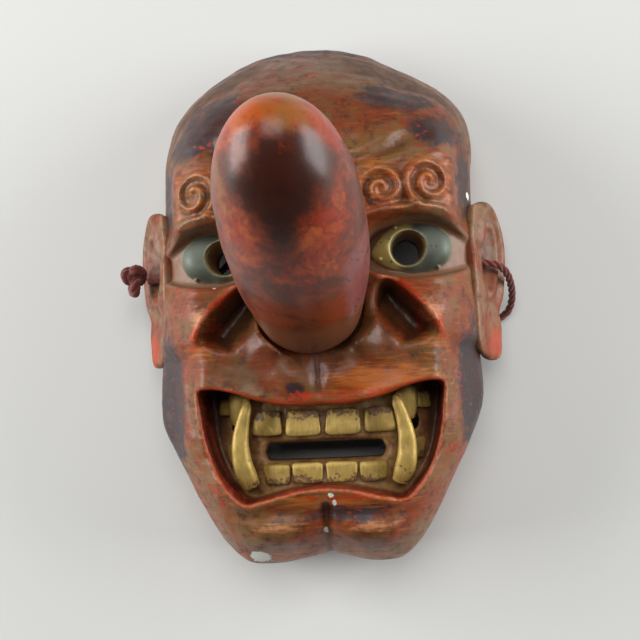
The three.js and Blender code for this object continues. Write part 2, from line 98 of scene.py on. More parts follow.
TIE_KNOT = np.array([42.6, -15.6, 3.9])
SIDES = {1: "right", -1: "left"}  # the viewer's, by the sign of x


# ---------------------------------------------------------------- the camera
def photographer():
    """A close camera over the face, a little towards the chin and the viewer's right."""
    aim, distance = Vector((-2.3, -9.5, 0)) * MM, 345 * MM
    pitch, yaw, roll = (math.radians(a) for a in (5, 3.6, 2.6))
    back = Vector((math.sin(yaw) * math.cos(pitch), -math.sin(pitch), math.cos(yaw) * math.cos(pitch)))
    level = Vector((0, 1, 0)).cross(back).normalized()
    upright = back.cross(level)
    right = level * math.cos(roll) - upright * math.sin(roll)
    up = upright * math.cos(roll) + level * math.sin(roll)
    data = bpy.data.cameras.new("camera")
    data.sensor_width, data.lens = 36, 45
    data.clip_start = 0.01
    camera = bpy.data.objects.new("camera", data)
    turn = Matrix((right, up, back)).transposed().to_4x4()
    camera.matrix_world = Matrix.Translation(aim + back * distance) @ turn
    bpy.context.scene.collection.objects.link(camera)
    bpy.context.scene.camera = camera


photographer()


# ---------------------------------------------------------------- numbers, curves and distances
def smooth(value, low, high):
    """0 up to low and 1 from high on, with an even bend between them."""
    t = np.clip((value - low) / (high - low), 0, 1)
    return t * t * (3 - 2 * t)


def hill(dx, dy, rx, ry):
    """1 in its middle, dying away over rx and ry."""
    return np.exp(-((dx / rx) ** 2) - (dy / ry) ** 2)


def soft_max(a, b, r):
    """The larger of two fields, with a fillet about r wide where they cross."""
    h = np.clip(0.5 + 0.5 * (a - b) / r, 0, 1)
    return b + (a - b) * h + r * h * (1 - h)


def soft_min(a, b, r):
    return -soft_max(-a, -b, r)


def most(*fields):
    """The largest of several fields at each place."""
    return np.max(np.broadcast_arrays(*fields), axis=0)


def round_angles(n):
    return np.linspace(0, 2 * math.pi, n, endpoint=False)


def curve(points, closed=False, per=8):
    """A smooth line through points."""
    p = np.array(points, float)
    n = len(p)
    spans = n if closed else n - 1
    t = np.linspace(0, 1, per, endpoint=False)[:, None]
    out = []
    for i in range(spans):
        if closed:
            a, b, c, d = p[i - 1], p[i], p[(i + 1) % n], p[(i + 2) % n]
        else:
            a, b, c, d = p[max(i - 1, 0)], p[i], p[i + 1], p[min(i + 2, n - 1)]
        out.append(
            0.5 * (2 * b + (c - a) * t + (2 * a - 5 * b + 4 * c - d) * t**2 + (3 * b - a - 3 * c + d) * t**3)
        )
    return np.vstack(out + ([] if closed else [p[-1:]]))


def mirrored(half):
    """A closed curve through half an outline and its mirror image."""
    return curve(half + [(-x, y) for x, y in half[-2:0:-1]], closed=True)


def along(pairs):
    """A smooth function through (at, value) pairs in falling order of at."""
    line = curve(pairs)[::-1]
    return lambda at: np.interp(at, line[:, 0], line[:, 1])


def to_line(line, x, y):
    """How far each point is from a line, and how far along it the nearest place is, from 0 to 1."""
    legs = np.diff(line, axis=0)
    spans = np.hypot(legs[:, 0], legs[:, 1])
    starts = np.concatenate([[0], np.cumsum(spans)])
    best = np.full(np.shape(x), np.inf)
    share = np.zeros(np.shape(x))
    for (px, py), (dx, dy), span, start in zip(line[:-1], legs, spans, starts):
        if span == 0:
            continue
        t = np.clip(((x - px) * dx + (y - py) * dy) / span**2, 0, 1)
        d = (x - px - t * dx) ** 2 + (y - py - t * dy) ** 2
        closer = d < best
        best = np.where(closer, d, best)
        share = np.where(closer, (start + t * span) / starts[-1], share)
    return np.sqrt(best), share


def to_edge(ring, x, y):
    """How far each point is outside a closed line, negative inside it."""
    loop = np.vstack([ring, ring[:1]])
    inside = np.zeros(np.shape(x), bool)
    for (ax, ay), (bx, by) in zip(loop[:-1], loop[1:]):
        if ay != by:
            inside ^= ((ay > y) != (by > y)) & (x < ax + (y - ay) * (bx - ax) / (by - ay))
    far = to_line(loop, x, y)[0]
    return np.where(inside, -far, far)


rng = np.random.default_rng(7)
WAVES = [(rng.normal(size=3), rng.uniform(0, 2 * math.pi)) for _ in range(24)]


def wobble(x, y, z, size):
    """A smooth unevenness of about one, whose bumps are about size across."""
    total = 0
    for way, phase in WAVES:
        total = total + np.sin((way[0] * x + way[1] * y + way[2] * z) * 2.2 / size + phase)
    return total / math.sqrt(len(WAVES) / 2)


def spiral(x, y, radius, turns, begin):
    """A line that winds in clockwise from radius round a middle."""
    t = np.linspace(0, 1, 40)
    angle = begin - 2 * math.pi * turns * t
    r = radius * (1 - t) ** 0.8 + 0.6
    return np.stack([x + r * np.cos(angle), y + r * np.sin(angle)], axis=1)


# ---------------------------------------------------------------- the carved front
def leaning(ring):
    """The outline with the carver's lean."""
    x, y = ring.T
    lean = LEAN["jaw"] * (1 - smooth(y, -80, 50)) + LEAN["temple"] * hill(0, y - 65, 1, 16)
    lean = lean + LEAN["crown"] * smooth(y, 78, 100)
    return np.stack([x + lean * smooth(np.abs(x), 4, 24), y], axis=1)


outline = leaning(mirrored(OUTLINE))
mouth = mirrored(MOUTH)
socket = curve(SOCKET, closed=True)
by_angle = sorted((math.atan2(y, x), math.hypot(x, y)) for x, y in outline)
angles = np.array([a for a, _ in by_angle])
reaches = np.array([r for _, r in by_angle])


def outline_share(x, y):
    """0 in the middle of the face and 1 on its outline."""
    return np.hypot(x, y) / np.interp(np.arctan2(y, x), angles, reaches, period=2 * math.pi)


mid_height = along([
    (106, 34), (90, 47), (75, 55), (60, 59), (45, 61), (30, 60), (10, 57), (-10, 58), (-30, 61),
    (-45, 60), (-60, 58), (-78, 58), (-90, 56), (-106, 50),
])
edge_height = along([
    (106, 14), (80, 18), (50, 26), (20, 30), (-15, 34), (-45, 32), (-70, 29), (-95, 30), (-106, 32),
])
roof_height = along([
    (98, 20), (85, 36), (70, 45), (50, 48), (30, 45), (10, 39), (-10, 38), (-30, 38), (-45, 38),
    (-60, 37), (-80, 38), (-90, 35), (-98, 24),
])

# Lines of the right half that the carver followed.
BROW_BORDER = curve([(17, 21.4), (26.7, 23.2), (36, 24.4), (45.6, 24.8), (50.5, 22.6), (56, 22)])
BROW_TOP = curve([(14, 38.2), (20, 40.2), (26.6, 41.8), (34, 43), (41.4, 44.6), (48, 45.6), (51, 45)])
NOSTRIL = curve([(21.5, 4), (23, -3), (22.5, -10), (21.5, -15.5), (17.5, -21), (11.5, -25)])
FOREHEAD_FOLD = curve([(6, 45), (14, 44.6), (20.9, 46), (25.7, 49), (30, 52.5), (35, 56.5)])
FOREHEAD_VALLEY = curve([(8, 41), (19.5, 42.6), (25.9, 44.8), (31, 47.6), (37, 51), (44, 54)])
CHEEK_TOP = curve([(22, 1.4), (28, -0.2), (34, -0.8), (40.3, -1.4), (46, -1.2), (52, -0.2), (57, 1)])
CHEEK_FOLD = curve([
    (21.5, 1.6), (27.5, -0.4), (31.5, -3.6), (35, -7.4), (39.5, -12.6), (43, -17.5), (45, -22.5),
])
SMILE = curve([
    (45, -22), (48.5, -29), (50.5, -36), (50.8, -44), (49.5, -54), (46, -64), (41.5, -72.5), (36, -80),
])
SWIRL_OUT, SWIRL_IN = (43, 33.4), (25.8, 31.2)
OUTER_SWIRL = spiral(*SWIRL_OUT, 8.6, 1.6, math.radians(250))
INNER_SWIRL = spiral(*SWIRL_IN, 8, 1.5, math.radians(230))

RIDGES = [  # a line, its width, its height, and the share of it that dies away at either end
    (FOREHEAD_FOLD, 4.2, 2.2, 0.35), (FOREHEAD_VALLEY, 3.6, -2.6, 0.3), (BROW_TOP, 2, 1.3, 0.1),
    (OUTER_SWIRL, 1.4, 2.5, 0.03), (INNER_SWIRL, 1.4, 2.5, 0.03), (BROW_BORDER, 1.3, 1.5, 0.06),
    (CHEEK_FOLD, 2.4, 2.2, 0.08), (CHEEK_TOP, 1.6, 0.9, 0.1), (NOSTRIL, 3, 2.6, 0.1),
    (SMILE, 3.6, 1.8, 0.1),
]
PAIRED_HILLS = [  # a middle, the reach across and along the face, and the height; on both halves
    (*SWIRL_OUT, 2.6, 2.6, 1.6),
    (*SWIRL_IN, 2.6, 2.6, 1.6),
    (43, -11, 13, 12, 8),  # cheek
    (17.5, -24, 7.5, 6.5, 4.6),  # nostril's wing
    (9, -33, 8, 6, 2.2),  # beside the philtrum
    (58, -46, 6.5, 22, -3.6),  # flank of the jaw
    (17, -92.5, 12, 7.5, 5.4),  # pad of the chin
]
MIDDLE_HILLS = [  # the same, once each
    (0, 47, 9, 12, -1.2),  # between the forehead's folds
    (0, -34, 2.6, 8, -2),  # philtrum
    (0, -38, 40, 6, 2.4),  # upper lip
    (0, -83, 28, 3.2, -2),  # hollow under the lower lip
]
PIT_DEPTH = 12.5


def ridge(line, x, y, width, height, fade):
    """A raised line that dies away at its ends; a groove if height is negative."""
    far, share = to_line(line, x, y)
    ends = smooth(share, -0.01, fade) * (1 - smooth(share, 1 - fade, 1.01))
    return height * ends * np.exp(-((far / width) ** 2))


def hills(rows, x, y):
    """The sum of hills in rows of middle, reach and height."""
    return sum(height * hill(x - at_x, y - at_y, rx, ry) for at_x, at_y, rx, ry, height in rows)


def brow(ax, y):
    """The brow's shelf, and the shallow step in it over the eye's border."""
    shelf = smooth(y, 14, 22) * (1 - smooth(y, 40, 49))
    step = 1.6 * (1 - smooth(ax, 46, 52)) * smooth(y, 24, 26.5)
    return shelf * (3.4 * (1 - smooth(ax, 50, 58)) - step)


def pit(ax, y):
    """How much of its depth the pit between the nose and the cheek's fold has: steep by the fold."""
    far, share = to_line(CHEEK_FOLD, ax, y)
    fold_x = np.interp(-y, -CHEEK_FOLD[:, 1], CHEEK_FOLD[:, 0])
    inward = far * np.sign(fold_x - ax)
    ends = smooth(share, 0.01, 0.22) * (1 - smooth(share, 0.72, 1))
    return smooth(inward, 0.4, 5) * (1 - smooth(inward, 6, 17)) * ends


def relief(x, y):
    """The height of the carved front over the rim's plane."""
    ax = np.abs(x)
    fall = outline_share(x, y) ** (5 + 5 * smooth(-y, 40, 95))
    z = mid_height(y) * (1 - fall) + edge_height(y) * fall
    for line, width, height, fade in RIDGES:
        z += ridge(line, ax, y, width, height, fade)
    z += hills(PAIRED_HILLS, ax, y) + hills(MIDDLE_HILLS, x, y) + brow(ax, y)
    # The temple is a flat plane that turns at a sharp edge, and the cheek's lower edge overhangs the jaw.
    z -= 2.2 * smooth(ax, 51.5, 56) * smooth(y, 18, 26) * (1 - smooth(y, 46, 56))
    z -= 6 * smooth(-y, 20.5, 27) * smooth(ax, 41, 50) * (1 - smooth(-y, 34, 56))
    z -= PIT_DEPTH * pit(ax, y)
    # The lips' rim, and the cleft between the chin's pads.
    z += 1.6 * np.exp(-((to_edge(mouth, x, y) - 1) / 2.4) ** 2)
    z -= 2.8 * np.exp(-((x / 2) ** 2)) * smooth(-y, 78, 81)
    return z + 0.3 * wobble(x, y, 0, 9) + 0.12 * wobble(y, x, 0, 3.2)


def rim_height(y):
    """The flat rim, arched up at the sides."""
    return RIM_ARCH * np.cos((math.pi / 2) * np.minimum(1, np.abs(y) / RIM_ARCH_HALF)) ** 2


def gum_height(x):
    return JAW_TOP - x**2 / JAW_CURVE


# ---------------------------------------------------------------- voxels to meshes
class Voxels:
    """A box of points on a grid, as x, y and z arrays that spread over one another."""

    def __init__(self, low, high, step):
        self.low, self.step = np.array(low, float), step
        counts = np.ceil((np.array(high) - self.low) / step).astype(int) + 1
        x, y, z = (self.low[i] + step * np.arange(counts[i]) for i in range(3))
        self.x, self.y, self.z = x[:, None, None], y[None, :, None], z[None, None, :]
        self.flat_x, self.flat_y = np.meshgrid(x, y, indexing="ij")

    def surface(self, field):
        """The field's zero surface as vertices and faces that point outwards."""
        field = np.array(np.broadcast_to(field, (self.x.size, self.y.size, self.z.size)), np.float32)
        far = 4 * self.step
        for axis in range(3):
            edge = [slice(None)] * 3
            for end in (0, -1):
                edge[axis] = end
                field[tuple(edge)] = far
        grid = openvdb.FloatGrid(far)
        grid.copyFromArray(np.clip(field, -far, far))
        points, quads = grid.convertToQuads(isovalue=0)
        return self.low + points * self.step, quads

    def sample(self, array, points):
        """An array's value at each of points, from the eight grid points around it."""
        at = (points - self.low) / self.step
        base = np.clip(np.floor(at).astype(int), 0, np.array(array.shape) - 2)
        part = np.clip(at - base, 0, 1)
        total = 0
        for i in (0, 1):
            for j in (0, 1):
                for k in (0, 1):
                    share = np.prod(np.abs(1 - np.array([i, j, k]) - part), axis=1)
                    total = total + share * array[tuple((base + (i, j, k)).T)]
        return total


def blurred(array, reach):
    """A box blur, reach grid points each way."""
    for axis in range(3):
        pad = [(0, 0)] * 3
        pad[axis] = (reach + 1, reach)
        sums = np.cumsum(np.pad(array, pad, mode="edge"), axis=axis, dtype=np.float32)
        n = array.shape[axis]
        width = 2 * reach + 1
        array = (np.take(sums, range(width, n + width), axis) - np.take(sums, range(n), axis)) / width
    return array


def mesh_object(name, points, faces, slot, node, body="mask"):
    """Makes a smooth-shaded piece from points in millimetres, in place of a CAD node, on its body."""
    mesh = bpy.data.meshes.new(name)
    mesh.from_pydata((np.asarray(points) * MM).tolist(), [], [list(map(int, f)) for f in faces])
    mesh.validate()
    mesh.shade_smooth()
    piece = bpy.data.objects.new(name, mesh)
    bpy.context.scene.collection.objects.link(piece)
    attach(piece, body)
    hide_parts(node)
    return piece


def give(piece, name, values):
    """A value per vertex, which the piece's material reads by name."""
    attribute = piece.data.attributes.new(name, "FLOAT", "POINT")
    attribute.data.foreach_set("value", np.ascontiguousarray(values, np.float32))


def worn_edges_and_hollow_shade(piece, voxels, field, points):
    """How much each vertex stands out of its surroundings, for worn edges, and how deep it lies in them, for
    painted shade in the hollows.
    """
    solid = np.clip(0.5 - field / voxels.step, 0, 1).astype(np.float32)
    near = voxels.sample(blurred(solid, 2), points)
    wide = voxels.sample(blurred(solid, 6), points)
    give(piece, "edge", np.clip((0.5 - near) * 5, 0, 1))
    # How deep a vertex lies in a hollow, which the materials darken as painted shade.
    give(piece, "hollow_shade", np.clip((near - 0.5) * 4 + (wide - 0.5) * 2.5, 0, 1))


# ---------------------------------------------------------------- the face shell
def nose_radius(height):
    """The nose's radius at a height over its seat: widest at the belly and round at the tip."""
    r, at = BELLY["r"], BELLY["at"]
    under = r - (r - NOSE_BASE) * np.clip((at - height) / at, 0, 1) ** BELLY["below"]
    over = r * np.sqrt(1 - np.clip((height - at) / (NOSE_LENGTH - at), 0, 1) ** BELLY["above"])
    return np.where(height < at, under, over)


def nose_axis_distance(x, y, z):
    """Distance from the nose's axis, and height along it from its seat."""
    dx, dy, dz = x - NOSE_SEAT[0], y - NOSE_SEAT[1], z - NOSE_SEAT[2]
    up = dy * math.sin(NOSE_LEAN) + dz * math.cos(NOSE_LEAN)
    side = dy * math.cos(NOSE_LEAN) - dz * math.sin(NOSE_LEAN)
    return np.sqrt(dx**2 + side**2), up, side


def deep(array):
    """An array over x and y, spread up through the voxels' layers."""
    return array[:, :, None]


def over_surface(v, height):
    """Distance from a surface given by its height over x and y, negative under it."""
    steep = np.minimum(np.hypot(*np.gradient(height, v.step)), 3)
    return (v.z - deep(height)) / deep(np.sqrt(1 + steep**2))


def eyeball(dx, dy, dz):
    """1 on the eyeball's surface and less inside it, from the distances to its middle."""
    return np.sqrt((dx / EYE["rx"]) ** 2 + (dy / EYE["ry"]) ** 2 + (dz / EYE["dome"]) ** 2)


def with_mouth(v, field):
    """Opens the mouth down to the gums."""
    x, y = v.flat_x, v.flat_y
    gums = gum_height(x) + 0.5 * np.cos(x * 0.52) * smooth(y, -62, -46) + 0.25 * wobble(x, y, 0, 4)
    room = soft_max(deep(to_edge(mouth, x, y)), deep(gums) - v.z, 1.5)
    return soft_max(field, -room, 1.8)


def with_eyes(v, field):
    """Cuts the sockets and leaves an eyeball in each."""
    ax, y = np.abs(v.flat_x), v.flat_y
    rim = deep(to_edge(socket, ax, y)) + 0.12 * (58 - v.z)
    floor = 46.5 - 0.02 * (ax - 34) ** 2
    field = soft_max(field, -soft_max(rim, deep(floor) - v.z, 3), 1.4)
    ball = eyeball(deep(ax) - EYE["x"], deep(y) - EYE["y"], v.z - EYE["floor"])
    return soft_min(field, np.maximum((ball - 0.86) * 8, EYE["floor"] - 6 - v.z), 0.8)


def hollowed(v, field, wall):
    """Gouges out the inside, a little unevenly, and arches the rim."""
    x, y = v.flat_x, v.flat_y
    inner = np.clip(outline_share(x, y) * 1.08, 0, 1) ** 4
    roof = (roof_height(y) - 0.004 * x**2) * (1 - inner) + 0.55 * edge_height(y) * inner
    roof = roof + 0.35 * np.sin(y * 0.9 + 1.5 * wobble(x, y, 0, 14)) + 0.3 * wobble(x, y, 0, 7)
    cave = soft_max(over_surface(v, roof), wall + WALL, 6)
    return soft_max(soft_max(field, -cave, 1.5), deep(rim_height(y)) - v.z, 1.2)


def pierced(v, field):
    """Cuts the pupils, the mouth's slit, the gaps beside the teeth and the cord's holes."""
    ax, y = np.abs(v.flat_x), v.flat_y
    pupil = PUPIL["back"] + (PUPIL["front"] - PUPIL["back"]) * smooth(v.z, 38, 51)
    field = soft_max(field, pupil - deep(np.hypot(ax - PUPIL["x"], y - PUPIL["y"])), 0.8)
    slit = deep(to_edge(np.array(SLIT), v.flat_x, y)) - 0.25 * np.clip(v.z - 40, 0, 8)
    field = soft_max(field, -slit, 1.6)
    gap = deep(np.hypot((ax - SIDE_GAP["x"]) / SIDE_GAP["rx"], (y - SIDE_GAP["y"]) / SIDE_GAP["ry"]))
    field = soft_max(field, (1 - gap) * 2.6, 0.8)
    cords = HOLE["r"] - np.hypot(v.y - HOLE["y"], v.z - HOLE["z"])
    return soft_max(field, np.where(np.abs(v.x) > 40, cords, -9), 0.6)


def with_nose_seat(v, field):
    """Cuts the nose's round seat and the square mortise in its floor."""
    from_axis, up, side = nose_axis_distance(v.x, v.y, v.z)
    seat = np.maximum(from_axis - nose_radius(np.clip(up, 0, BELLY["at"])) - SEAT_GAP, -up)
    mortise = np.maximum(np.maximum(np.abs(v.x - NOSE_SEAT[0]), np.abs(side)) - MORTISE_HALF, up - 2)
    return soft_max(soft_max(field, -seat, 0.8), -mortise, 0.5)


def shell_field(v):
    wall = deep(to_edge(outline, v.flat_x, v.flat_y))
    field = soft_max(over_surface(v, relief(v.flat_x, v.flat_y)), wall, 3)
    field = with_eyes(v, with_mouth(v, field))
    return with_nose_seat(v, pierced(v, hollowed(v, field, wall)))


# ---------------------------------------------------------------- where the face's paints lie, and its painted shade and highlights
def vermilion(x, y, ax):
    """The lips' edges, the folds, and the places that were never painted over."""
    lines = (
        (CHEEK_FOLD, 2.8, 0.9), (CHEEK_TOP, 1.6, 0.7), (BROW_BORDER, 1.5, 0.5), (BROW_TOP, 1.6, 0.5),
        (FOREHEAD_FOLD, 2, 0.6), (FOREHEAD_VALLEY, 1.4, 0.7), (NOSTRIL, 2, 0.6), (SMILE, 6, 0.6),
    )
    brow_end = smooth(ax, 43, 47) * (1 - smooth(ax, 50, 53)) * smooth(y, 24, 30) * (1 - smooth(y, 42, 47))
    return most(
        np.exp(-(((to_edge(mouth, x, y) - 0.3) / 1.6) ** 2)),
        *(much * np.exp(-((to_line(line, ax, y)[0] / width) ** 2)) for line, width, much in lines),
        0.85 * hill(ax - 38, y + 15, 4.5, 10),
        0.7 * hill(x - 6, y - 84, 20, 11),
        0.8 * hill(x - 8, y + 41, 34, 4),
        0.75 * hill(x - 6, y + 77.5, 26, 3),
        0.5 * brow_end,
    )


def overpaint_and_flank_shade(x, y, ax):
    """Dull violet-brown: forehead, temples, the jaw's sides and under the lower lip; on the jaw's sides it is
    partly painted shade with a bluish cast.
    """
    return most(
        hill(x - 33, y - 70, 19, 9),
        0.55 * smooth(y, 66, 92),
        hill(x + 38, y - 66, 17, 19),
        hill(ax - 47, y - 55, 13, 8),
        0.9 * hill(ax - 58, y - 38, 5, 20),
        # The jaw's flanks: violet paint and painted shade.
        1.1 * hill(ax - 58, y + 42, 9, 30),
        0.8 * hill(x - 8, y + 83.5, 24, 5),
        0.9 * hill(x + 8, y + 38.5, 5, 3),
        0.7 * hill(x, y - 101, 50, 10),
        1.25 * hill(x - 20, y - 87, 9, 9) + 1.2 * hill(x + 36, y - 84, 9, 10),
    )


def amber_wash(x, y, ax):
    """Thin amber over the brown: the brow, the lips and the cheeks' lower edge."""
    brows = smooth(y, 22, 27) * (1 - smooth(y, 41, 47)) * smooth(ax, 14, 18) * (1 - smooth(ax, 50, 54))
    return most(
        0.6 * brows,
        hill(x - 24, y + 37, 26, 8) + 0.5 * hill(x + 30, y + 44, 12, 5),
        0.9 * hill(x - 3, y + 79, 34, 4) + 0.8 * hill(ax - 14, y + 101, 22, 5),
        0.8 * hill(ax - 42, y + 24, 9, 5) + 0.35 * hill(x - 30, y - 62, 16, 7),
        hill(x, y + 92, 2.4, 12),
    )


def worn_and_highlit_spots(x, y, ax):
    """Paler lacquer, partly worn where hands and cloths reach and partly a painted highlight: cheeks, chin
    pads and the lips' ends.
    """
    cheeks, pads = hill(ax - 41, y + 13, 7, 7), hill(ax - 17, y + 88, 13, 3)
    return most(0.85 * cheeks, 0.85 * pads, 0.55 * hill(ax - 45, y + 33, 3.5, 8))


def brown_paint_and_pit_shade(x, y, ax):
    """Brown paint round the nostrils and the philtrum, and thinly on the forehead and temples; painted shade
    in the pits.
    """
    return most(
        0.8 * hill(ax - 18, y + 22, 14, 12),
        0.8 * hill(x, y + 31, 22, 7),
        # Painted shade in the pit between the nose and the cheek's fold.
        pit(ax, y),
        0.7 * hill(x + 27, y + 33, 12, 5) + 0.55 * hill(x - 16, y + 95, 10, 6),
        0.42 * smooth(y, 46, 64) + 0.3 * smooth(ax, 50, 56) * smooth(y, 8, 20),
    )


def lost_flakes(x, y, ax):
    """Chips that bare the white ground."""
    rows = [
        (-26, -100.5, 4.4, 3.2, 1), (2.3, -76.6, 1.1, 1, 1), (3.4, -79.6, 0.9, 1.4, 1),
        (-0.6, -90.5, 0.9, 1.5, 1), (59.5, 33, 0.8, 1.6, 1), (-36.5, -0.8, 0.9, 0.9, 1),
    ]
    return hills(rows, x, y)


PAINTS_AND_PAINTED_LIGHT = {
    "red": vermilion, "patch": overpaint_and_flank_shade, "amber": amber_wash, "worn_and_highlit": worn_and_highlit_spots, "shade": brown_paint_and_pit_shade,
    "chip": lost_flakes,
}


def mouth_and_eyes(x, y, z):
    """Masks of the gums, the mouth's walls, the sockets and the pupils' rims."""
    ax = np.abs(x)
    lips, over_gums = to_edge(mouth, x, y), z - gum_height(x)
    pupil = PUPIL["front"] + 0.6 - np.hypot(ax - PUPIL["x"], y - PUPIL["y"])
    return {
        "gums": smooth(-lips, -0.4, 0.8) * (1 - smooth(over_gums, 2, 5)),
        "mouth_wall": smooth(-lips, -1.2, 0.6) * smooth(over_gums, 1, 4),
        "socket": smooth(-to_edge(socket, ax, y), -0.3, 1.2) * (1 - smooth(z, 53, 57)),
        "tunnel": smooth(pupil, 0, 0.5) * smooth(z, 44, 47),
    }


def face_shell():
    v = Voxels((-65, -108, -3), (65, 108, 70), VOXEL)
    field = shell_field(v)
    points, faces = v.surface(field)
    piece = mesh_object("carved_face", points, faces, "face_lacquer", "face_shell")
    worn_edges_and_hollow_shade(piece, v, field, points)
    x, y, z = points.T
    under_roof = smooth(roof_height(y) - 0.004 * x**2 + 2.5 - z, -1.5, 1.5)
    hollow = under_roof * smooth(-to_edge(outline, x, y), 4.5, 6.5)
    give(piece, "inside", np.maximum(hollow, 1 - smooth(z, 1, 4)))
    masks = mouth_and_eyes(x, y, z)
    for name, paint in PAINTS_AND_PAINTED_LIGHT.items():
        masks[name] = paint(x, y, np.abs(x))
    for name, mask in masks.items():
        give(piece, name, mask * (1 - hollow))
    return piece


# ---------------------------------------------------------------- lofted pieces
def loft(rings):
    """A closed tube through rings of as many points each, with its ends closed by their middles."""
    rings = [np.asarray(r, float) for r in rings]
    n = len(rings[0])
    points = np.vstack(rings + [rings[0].mean(0)[None], rings[-1].mean(0)[None]])
    faces = []
    for i in range(len(rings) - 1):
        for j in range(n):
            k = (j + 1) % n
            faces.append((i * n + j, i * n + k, (i + 1) * n + k, (i + 1) * n + j))
    first, last, top = len(points) - 2, len(points) - 1, (len(rings) - 1) * n
    for j in range(n):
        k = (j + 1) % n
        faces.append((first, k, j))
        faces.append((last, top + j, top + k))
    return points, faces


def join(parts):
    """Several sets of points and faces as one."""
    points, faces, begin = [], [], 0
    for p, f in parts:
        points.append(p)
        faces += [tuple(i + begin for i in face) for face in f]
        begin += len(p)
    return np.vstack(points), faces


def frames(line):
    """A pair of directions across a line at each of its points, which turn as little as they can."""
    legs = np.gradient(line, axis=0)
    legs /= np.linalg.norm(legs, axis=1)[:, None]
    side = np.cross(legs[0], (0, 0, 1) if abs(legs[0][2]) < 0.9 else (0, 1, 0))
    sides = []
    for leg in legs:
        side = side - leg * np.dot(side, leg)
        side /= np.linalg.norm(side)
        sides.append(side)
    sides = np.array(sides)
    return sides, np.cross(legs, sides)


def tube(line, radius, n):
    """A round tube along a line, with n sides."""
    a, b = frames(line)
    turn = round_angles(n)
    circle = np.cos(turn)[None, :, None] * a[:, None, :] + np.sin(turn)[None, :, None] * b[:, None, :]
    return loft(list(line[:, None, :] + radius * circle))


# ---------------------------------------------------------------- the nose
def on_nose_axis(points):
    """From a frame with the nose's axis along z from its seat to the row's frame."""
    x, y, z = points.T
    c, s = math.cos(NOSE_LEAN), math.sin(NOSE_LEAN)
    return np.stack([x, y * c + z * s, z * c - y * s], axis=1) + NOSE_SEAT


def nose_ring(r, z, carved):
    """A ring that is, as far as it's carved, narrower than turned, flat by the face, and off to the left."""
    turn = round_angles(NOSE_SIDES)
    x, y = r * np.cos(turn), r * np.sin(turn)
    flat = carved * 0.025 * (1 - smooth(z, 10, 60)) * np.abs(np.cos(2 * turn))
    hand = carved * 0.005 * wobble(x, y, z, 14)
    k = 1 - flat + hand - carved * (0.008 + 0.022 * smooth(z, 8, 30))
    lean = NOSE_TIP_LEAN * carved * smooth(z, 14, NOSE_LENGTH)
    return np.stack([x * k + lean, y * k, np.full(NOSE_SIDES, z)], axis=1)


def nose_rings():
    """From the bottom of the bore, out round the foot, and over the tip."""
    base, r, deep_end = NOSE_BASE, NOSE_BORE, NOSE_BORE_DEPTH
    bore = [
        (1, deep_end + 5), (r * 0.5, deep_end + 3.6), (r * 0.8, deep_end), (r, deep_end - 6), (r, 20), (r, 1),
    ]
    foot = [(r, 0.35), (base - 3, 0.35), (base - 1, 0.6), (base - 0.3, 1.3)]
    heights = NOSE_LENGTH * np.sin(math.pi / 2 * np.linspace(0.03, 0.995, 70))
    side = [(float(nose_radius(height)), height) for height in heights]
    rings = [nose_ring(radius, z, 0) for radius, z in bore]
    return rings + [
        nose_ring(radius, z, smooth(radius, r + 1, base - 2) if z < 5 else 1) for radius, z in foot + side
    ]


def nose():
    points, faces = loft(nose_rings())
    piece = mesh_object("carved_nose", on_nose_axis(points), faces, "nose_lacquer", "nose", "nose")
    x, under, z = points[:, 0], -points[:, 1], points[:, 2]
    below = smooth(under, -6, 6)
    # Vermilion on the crown of the tip and in patches under it.
    crown = smooth(z, 70, 98) * smooth(-under, -11, 0)
    patches = hills([(-13, 74, 6, 15, 1), (10, 74, 10, 13, 1), (1, 58, 12, 9, 0.7)], x, z)
    give(piece, "red", most(crown, 0.95 * below * np.clip(patches, 0, 1)))
    # Near black over the tip's lower half, violet on the lower flanks that is partly a painted bluish
    # reflection, brown by the face.
    blots = hills([(0, 90, 24, 9, 1), (-1, 77, 5, 14, 0.8), (4, 101, 14, 7, 0.5)], x, z)
    give(piece, "dark", below * np.clip(blots, 0, 1))
    # Ochre at the tip, and on the left flank an ochre patch that is partly a painted highlight.
    tip = hill(x - 2, z - 101, 9, 6) * smooth(-under, -12, -2)
    give(piece, "ochre", tip + 0.8 * hill(x + 17, z - 84, 6, 12))
    flank = smooth(x, 8, 19) + 0.7 * smooth(-x, 14, 21)
    give(piece, "violet", flank * (1 - smooth(z, 52, 66)) * smooth(z, 16, 26))
    give(piece, "brown", 1 - smooth(z, 16, 38))
    give(piece, "inside", (np.hypot(x, under) < NOSE_BORE + 0.5) & (z < NOSE_BORE_DEPTH + 8))
    return piece


# ---------------------------------------------------------------- the ears
def on_side(sign, points, faces):
    """A piece of the right half as it is, or mirrored to the left half."""
    return (points, faces) if sign > 0 else (points * (-1, 1, 1), faces[:, ::-1])


def ear_front(w, y):
    """The height of an ear's front: a rolled rim, a ridge inside it, the bowl and the lobe."""
    helix = curve([(4, 10), (6, 24), (12, 31), (20, 29), (25.5, 19), (25.6, 8), (21.5, -3), (18, -12)])
    inner = curve([(10, 25), (16, 22), (19, 14), (17.5, 5), (12.5, -3), (6, -8)])
    swells = [
        (10.5, 10.5, 4.6, 9, -3.4), (21, 15, 1.8, 10, -1.2), (14, -25, 6, 6, 1.6), (3, -3, 3, 5, 1.4),
    ]
    top = 1.2 + ridge(helix, w, y, 2.6, 2.6, 0.12) + ridge(inner, w, y, 2.2, 1.8, 0.15)
    return top + hills(swells, w, y) + 0.25 * wobble(w, y, 0, 6)


